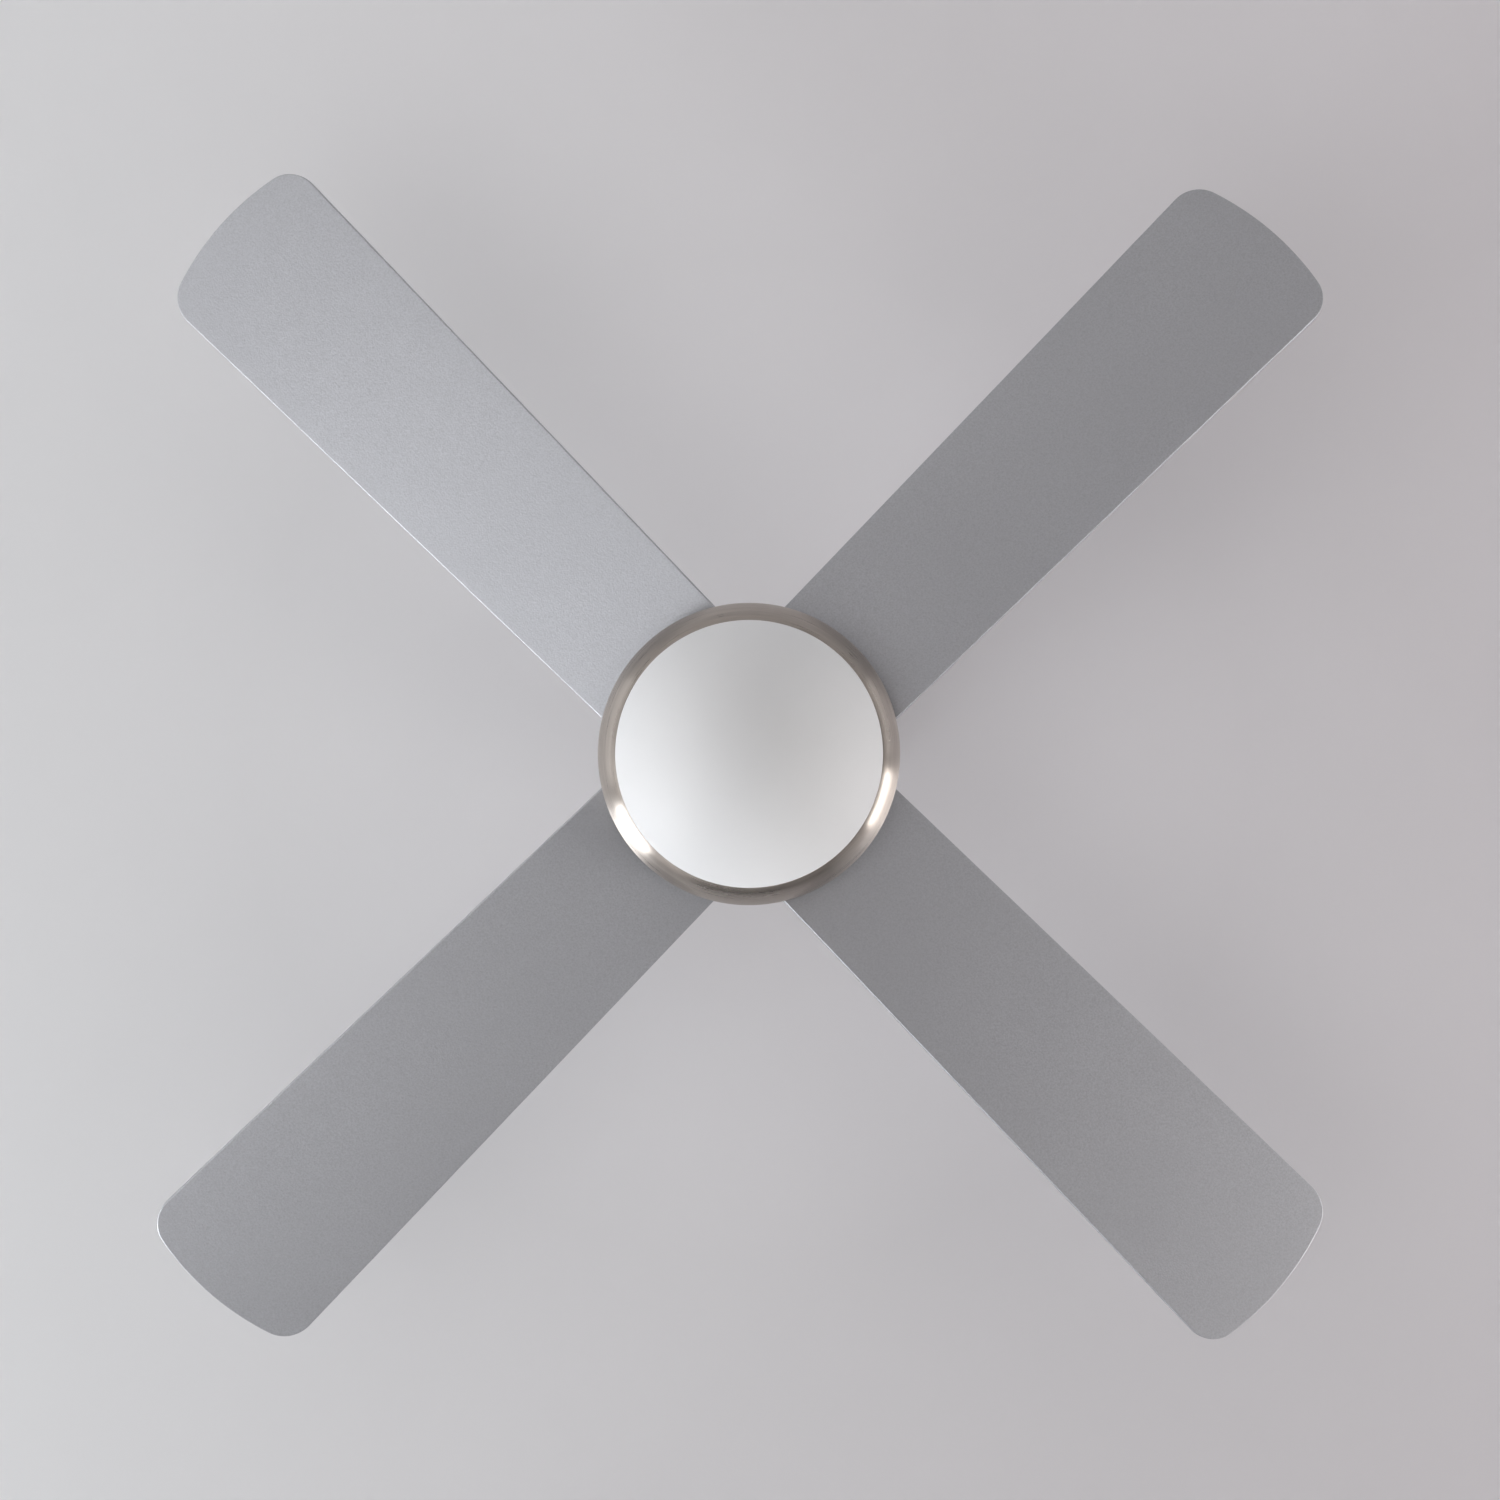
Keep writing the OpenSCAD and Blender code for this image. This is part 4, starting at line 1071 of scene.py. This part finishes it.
def plaster(name, colour):
    """Pale matt plaster."""
    material, tree, shader = new_material(name, Roughness=0.9)
    soft = noise(tree, place(tree), 1.2)
    grain = noise(tree, place(tree), 300.0)
    paint(tree, shader, soft, tinted(colour, 0.985), colour)
    bump(tree, shader, grain, 0.05 * MM)
    return material, tree, shader


def ceiling_plaster():
    """Plaster that is clear from behind. Its colour carries painted light: painted lighter and cooler
    towards -X, lighter towards -Y, and painted lighter still round the fan, against the shade that the fan
    casts.
    """
    reach = 0.8
    # Painted tints of the light: cooler on the -X side of the room, warmer on the +X side.
    cool = (0.783, 0.79, 0.806)
    warm = (0.783, 0.758, 0.789)
    # Gains that bound the painted shade and the painted light on the ceiling.
    painted_shade_gain = 0.85
    painted_light_gain = 1.22
    material, tree, shader = plaster("ceiling_plaster", cool)
    coords = tree.nodes.new("ShaderNodeTexCoord")
    split = tree.nodes.new("ShaderNodeSeparateXYZ")
    tree.links.new(coords.outputs["Object"], split.inputs["Vector"])
    x = split.outputs["X"]
    y = split.outputs["Y"]
    # Painted light falloff across the room: lighter towards -X and -Y, darker towards +X and +Y.
    across = spread(tree, x, 1.015, 0.985, -reach, reach)
    along = spread(tree, y, 0.08, -0.08, -reach, reach)
    # Painted glow round the fan: lighter near the axis, fading out at half a metre, against the fan's own
    # shadow.
    painted_glow_round_fan = spread(tree, axis_distance(tree, x, y), 0.22, 0.0, 0.0, 0.5)
    total = calc(tree, "ADD", across, calc(tree, "ADD", along, painted_glow_round_fan))
    painted_light_mix = spread(tree, total, 0.0, 1.0, painted_shade_gain, painted_light_gain)
    # Painted tint of the light, moving from cool to warm along X.
    painted_tint_mix = spread(tree, x, 0.0, 1.0, -reach, reach)
    painted_shade_colour = blend_colours(tree, painted_tint_mix, tinted(cool, painted_shade_gain), tinted(warm, painted_shade_gain))
    painted_light_colour = blend_colours(tree, painted_tint_mix, tinted(cool, painted_light_gain), tinted(warm, painted_light_gain))
    # Paints the light and shade above into the base colour.
    paint(tree, shader, painted_light_mix, painted_shade_colour, painted_light_colour)
    side = tree.nodes.new("ShaderNodeNewGeometry")
    clear = tree.nodes.new("ShaderNodeBsdfTransparent")
    mix = tree.nodes.new("ShaderNodeMixShader")
    tree.links.new(side.outputs["Backfacing"], mix.inputs["Fac"])
    tree.links.new(shader.outputs["BSDF"], mix.inputs[1])
    tree.links.new(clear.outputs["BSDF"], mix.inputs[2])
    tree.links.new(mix.outputs["Shader"], tree.nodes["Material Output"].inputs["Surface"])
    return material


def face_fan(obj, front, azimuth, distance, z):
    """Puts an object at an azimuth from +X towards +Y, and turns its front to the blades."""
    a = math.radians(azimuth)
    obj.location = (distance * math.cos(a), distance * math.sin(a), z)
    aim = Vector((0, 0, BLADE_Z)) - obj.location
    obj.rotation_euler = aim.to_track_quat(front, "Y").to_euler()
    obj.visible_camera = False


def soft_box(name, azimuth, distance, z, size, watts, colour, seen_in="both"):
    """An area light that faces the fan. It can be seen in both, or only in diffuse or gloss."""
    data = bpy.data.lights.new(name, "AREA")
    data.shape = "RECTANGLE"
    data.size, data.size_y = size
    data.energy = watts
    data.color = colour
    obj = bpy.data.objects.new(name, data)
    bpy.context.scene.collection.objects.link(obj)
    face_fan(obj, "-Z", azimuth, distance, z)
    obj.visible_glossy = seen_in != "diffuse"
    obj.visible_diffuse = seen_in != "gloss"
    return obj


def floor_pool():
    """A bright patch of floor under the left blades, as a window throws it."""
    pool = soft_box("floor_pool", 145, 1.3, FLOOR_Z + 0.1, (1.4, 1.4), 3.4, (0.97, 0.99, 1.0))
    pool.rotation_euler = (math.pi, 0, 0)


def dark_screen(name, azimuth, distance, z, size, shade_of_grey):
    """A dark screen that the nickel and the blades mirror. The camera doesn't see it."""
    grey = (shade_of_grey, shade_of_grey, shade_of_grey, 1)
    material, _, _ = new_material(name, Base_Color=grey, Roughness=0.9)
    mesh = bpy.data.meshes.new(name)
    w = size[0] / 2
    h = size[1] / 2
    mesh.from_pydata([(-w, -h, 0), (w, -h, 0), (w, h, 0), (-w, h, 0)], [], [(0, 1, 2, 3)])
    obj = stage_piece(name, mesh, material)
    face_fan(obj, "Z", azimuth, distance, z)
    return obj


WORLD = (0.62, 0.62, 0.64)
WORLD_STRENGTH = 0.78


def world_light():
    world = bpy.data.worlds.new("world")
    bpy.context.scene.world = world
    world.use_nodes = True
    background = world.node_tree.nodes["Background"]
    background.inputs["Color"].default_value = (*WORLD, 1)
    background.inputs["Strength"].default_value = WORLD_STRENGTH


def stage():
    """The room: ceiling, floor, two dark screens, and soft boxes for its windows and walls."""
    near = 3.6
    far = 3.8
    daylight = (0.95, 0.98, 1.0)
    sunlight = (1.0, 0.97, 0.94)
    wall_light = (0.98, 0.99, 1.0)
    ceiling()
    floor()
    wall = dark_screen("dark_wall", 84, 2.6, -1.55, (3.3, 2.2), 0.03)
    wall.visible_diffuse = False
    wall.visible_shadow = False
    dark_screen("dark_rug", 20, 0.3, FLOOR_Z + 0.05, (1.7, 2.0), 0.12)
    world_light()
    soft_box("window_left", 146, near, -0.9, (1.4, 1.7), 69, daylight, "diffuse")
    soft_box("window_right", 20, near, -0.5, (1.2, 0.8), 46, sunlight, "diffuse")
    soft_box("wall_back", 235, far, -1.3, (3.2, 2.2), 25, wall_light, "diffuse")
    soft_box("wall_front", 105, near, -0.2, (1.6, 0.6), 6, wall_light, "diffuse")
    soft_box("pane_left", 147, near, -1.2, (1.3, 1.6), 125, daylight, "gloss")
    soft_box("pane_right", 19, near, -1.0, (1.5, 1.4), 66, sunlight, "gloss")
    soft_box("curtain_left", 190, far, -1.3, (3.2, 2.2), 18, (0.97, 0.99, 1.0), "gloss")
    soft_box("curtain_back", 235, far, -1.3, (3.2, 2.2), 5, wall_light, "gloss")
    soft_box("curtain_right", 345, far, -1.3, (2.2, 2.2), 9, (1.0, 0.98, 0.96), "gloss")
    floor_pool()
    bpy.context.scene.view_settings.view_transform = "Standard"


camera()
paint_cad_nodes()
nickel_bowl()
opal_dome()
canopy_shell()
canopy_trim()
rod()
yoke_cap()
housing_shell()
blades()
blade_arms()
screws()
soften_cad_edges()
stage()
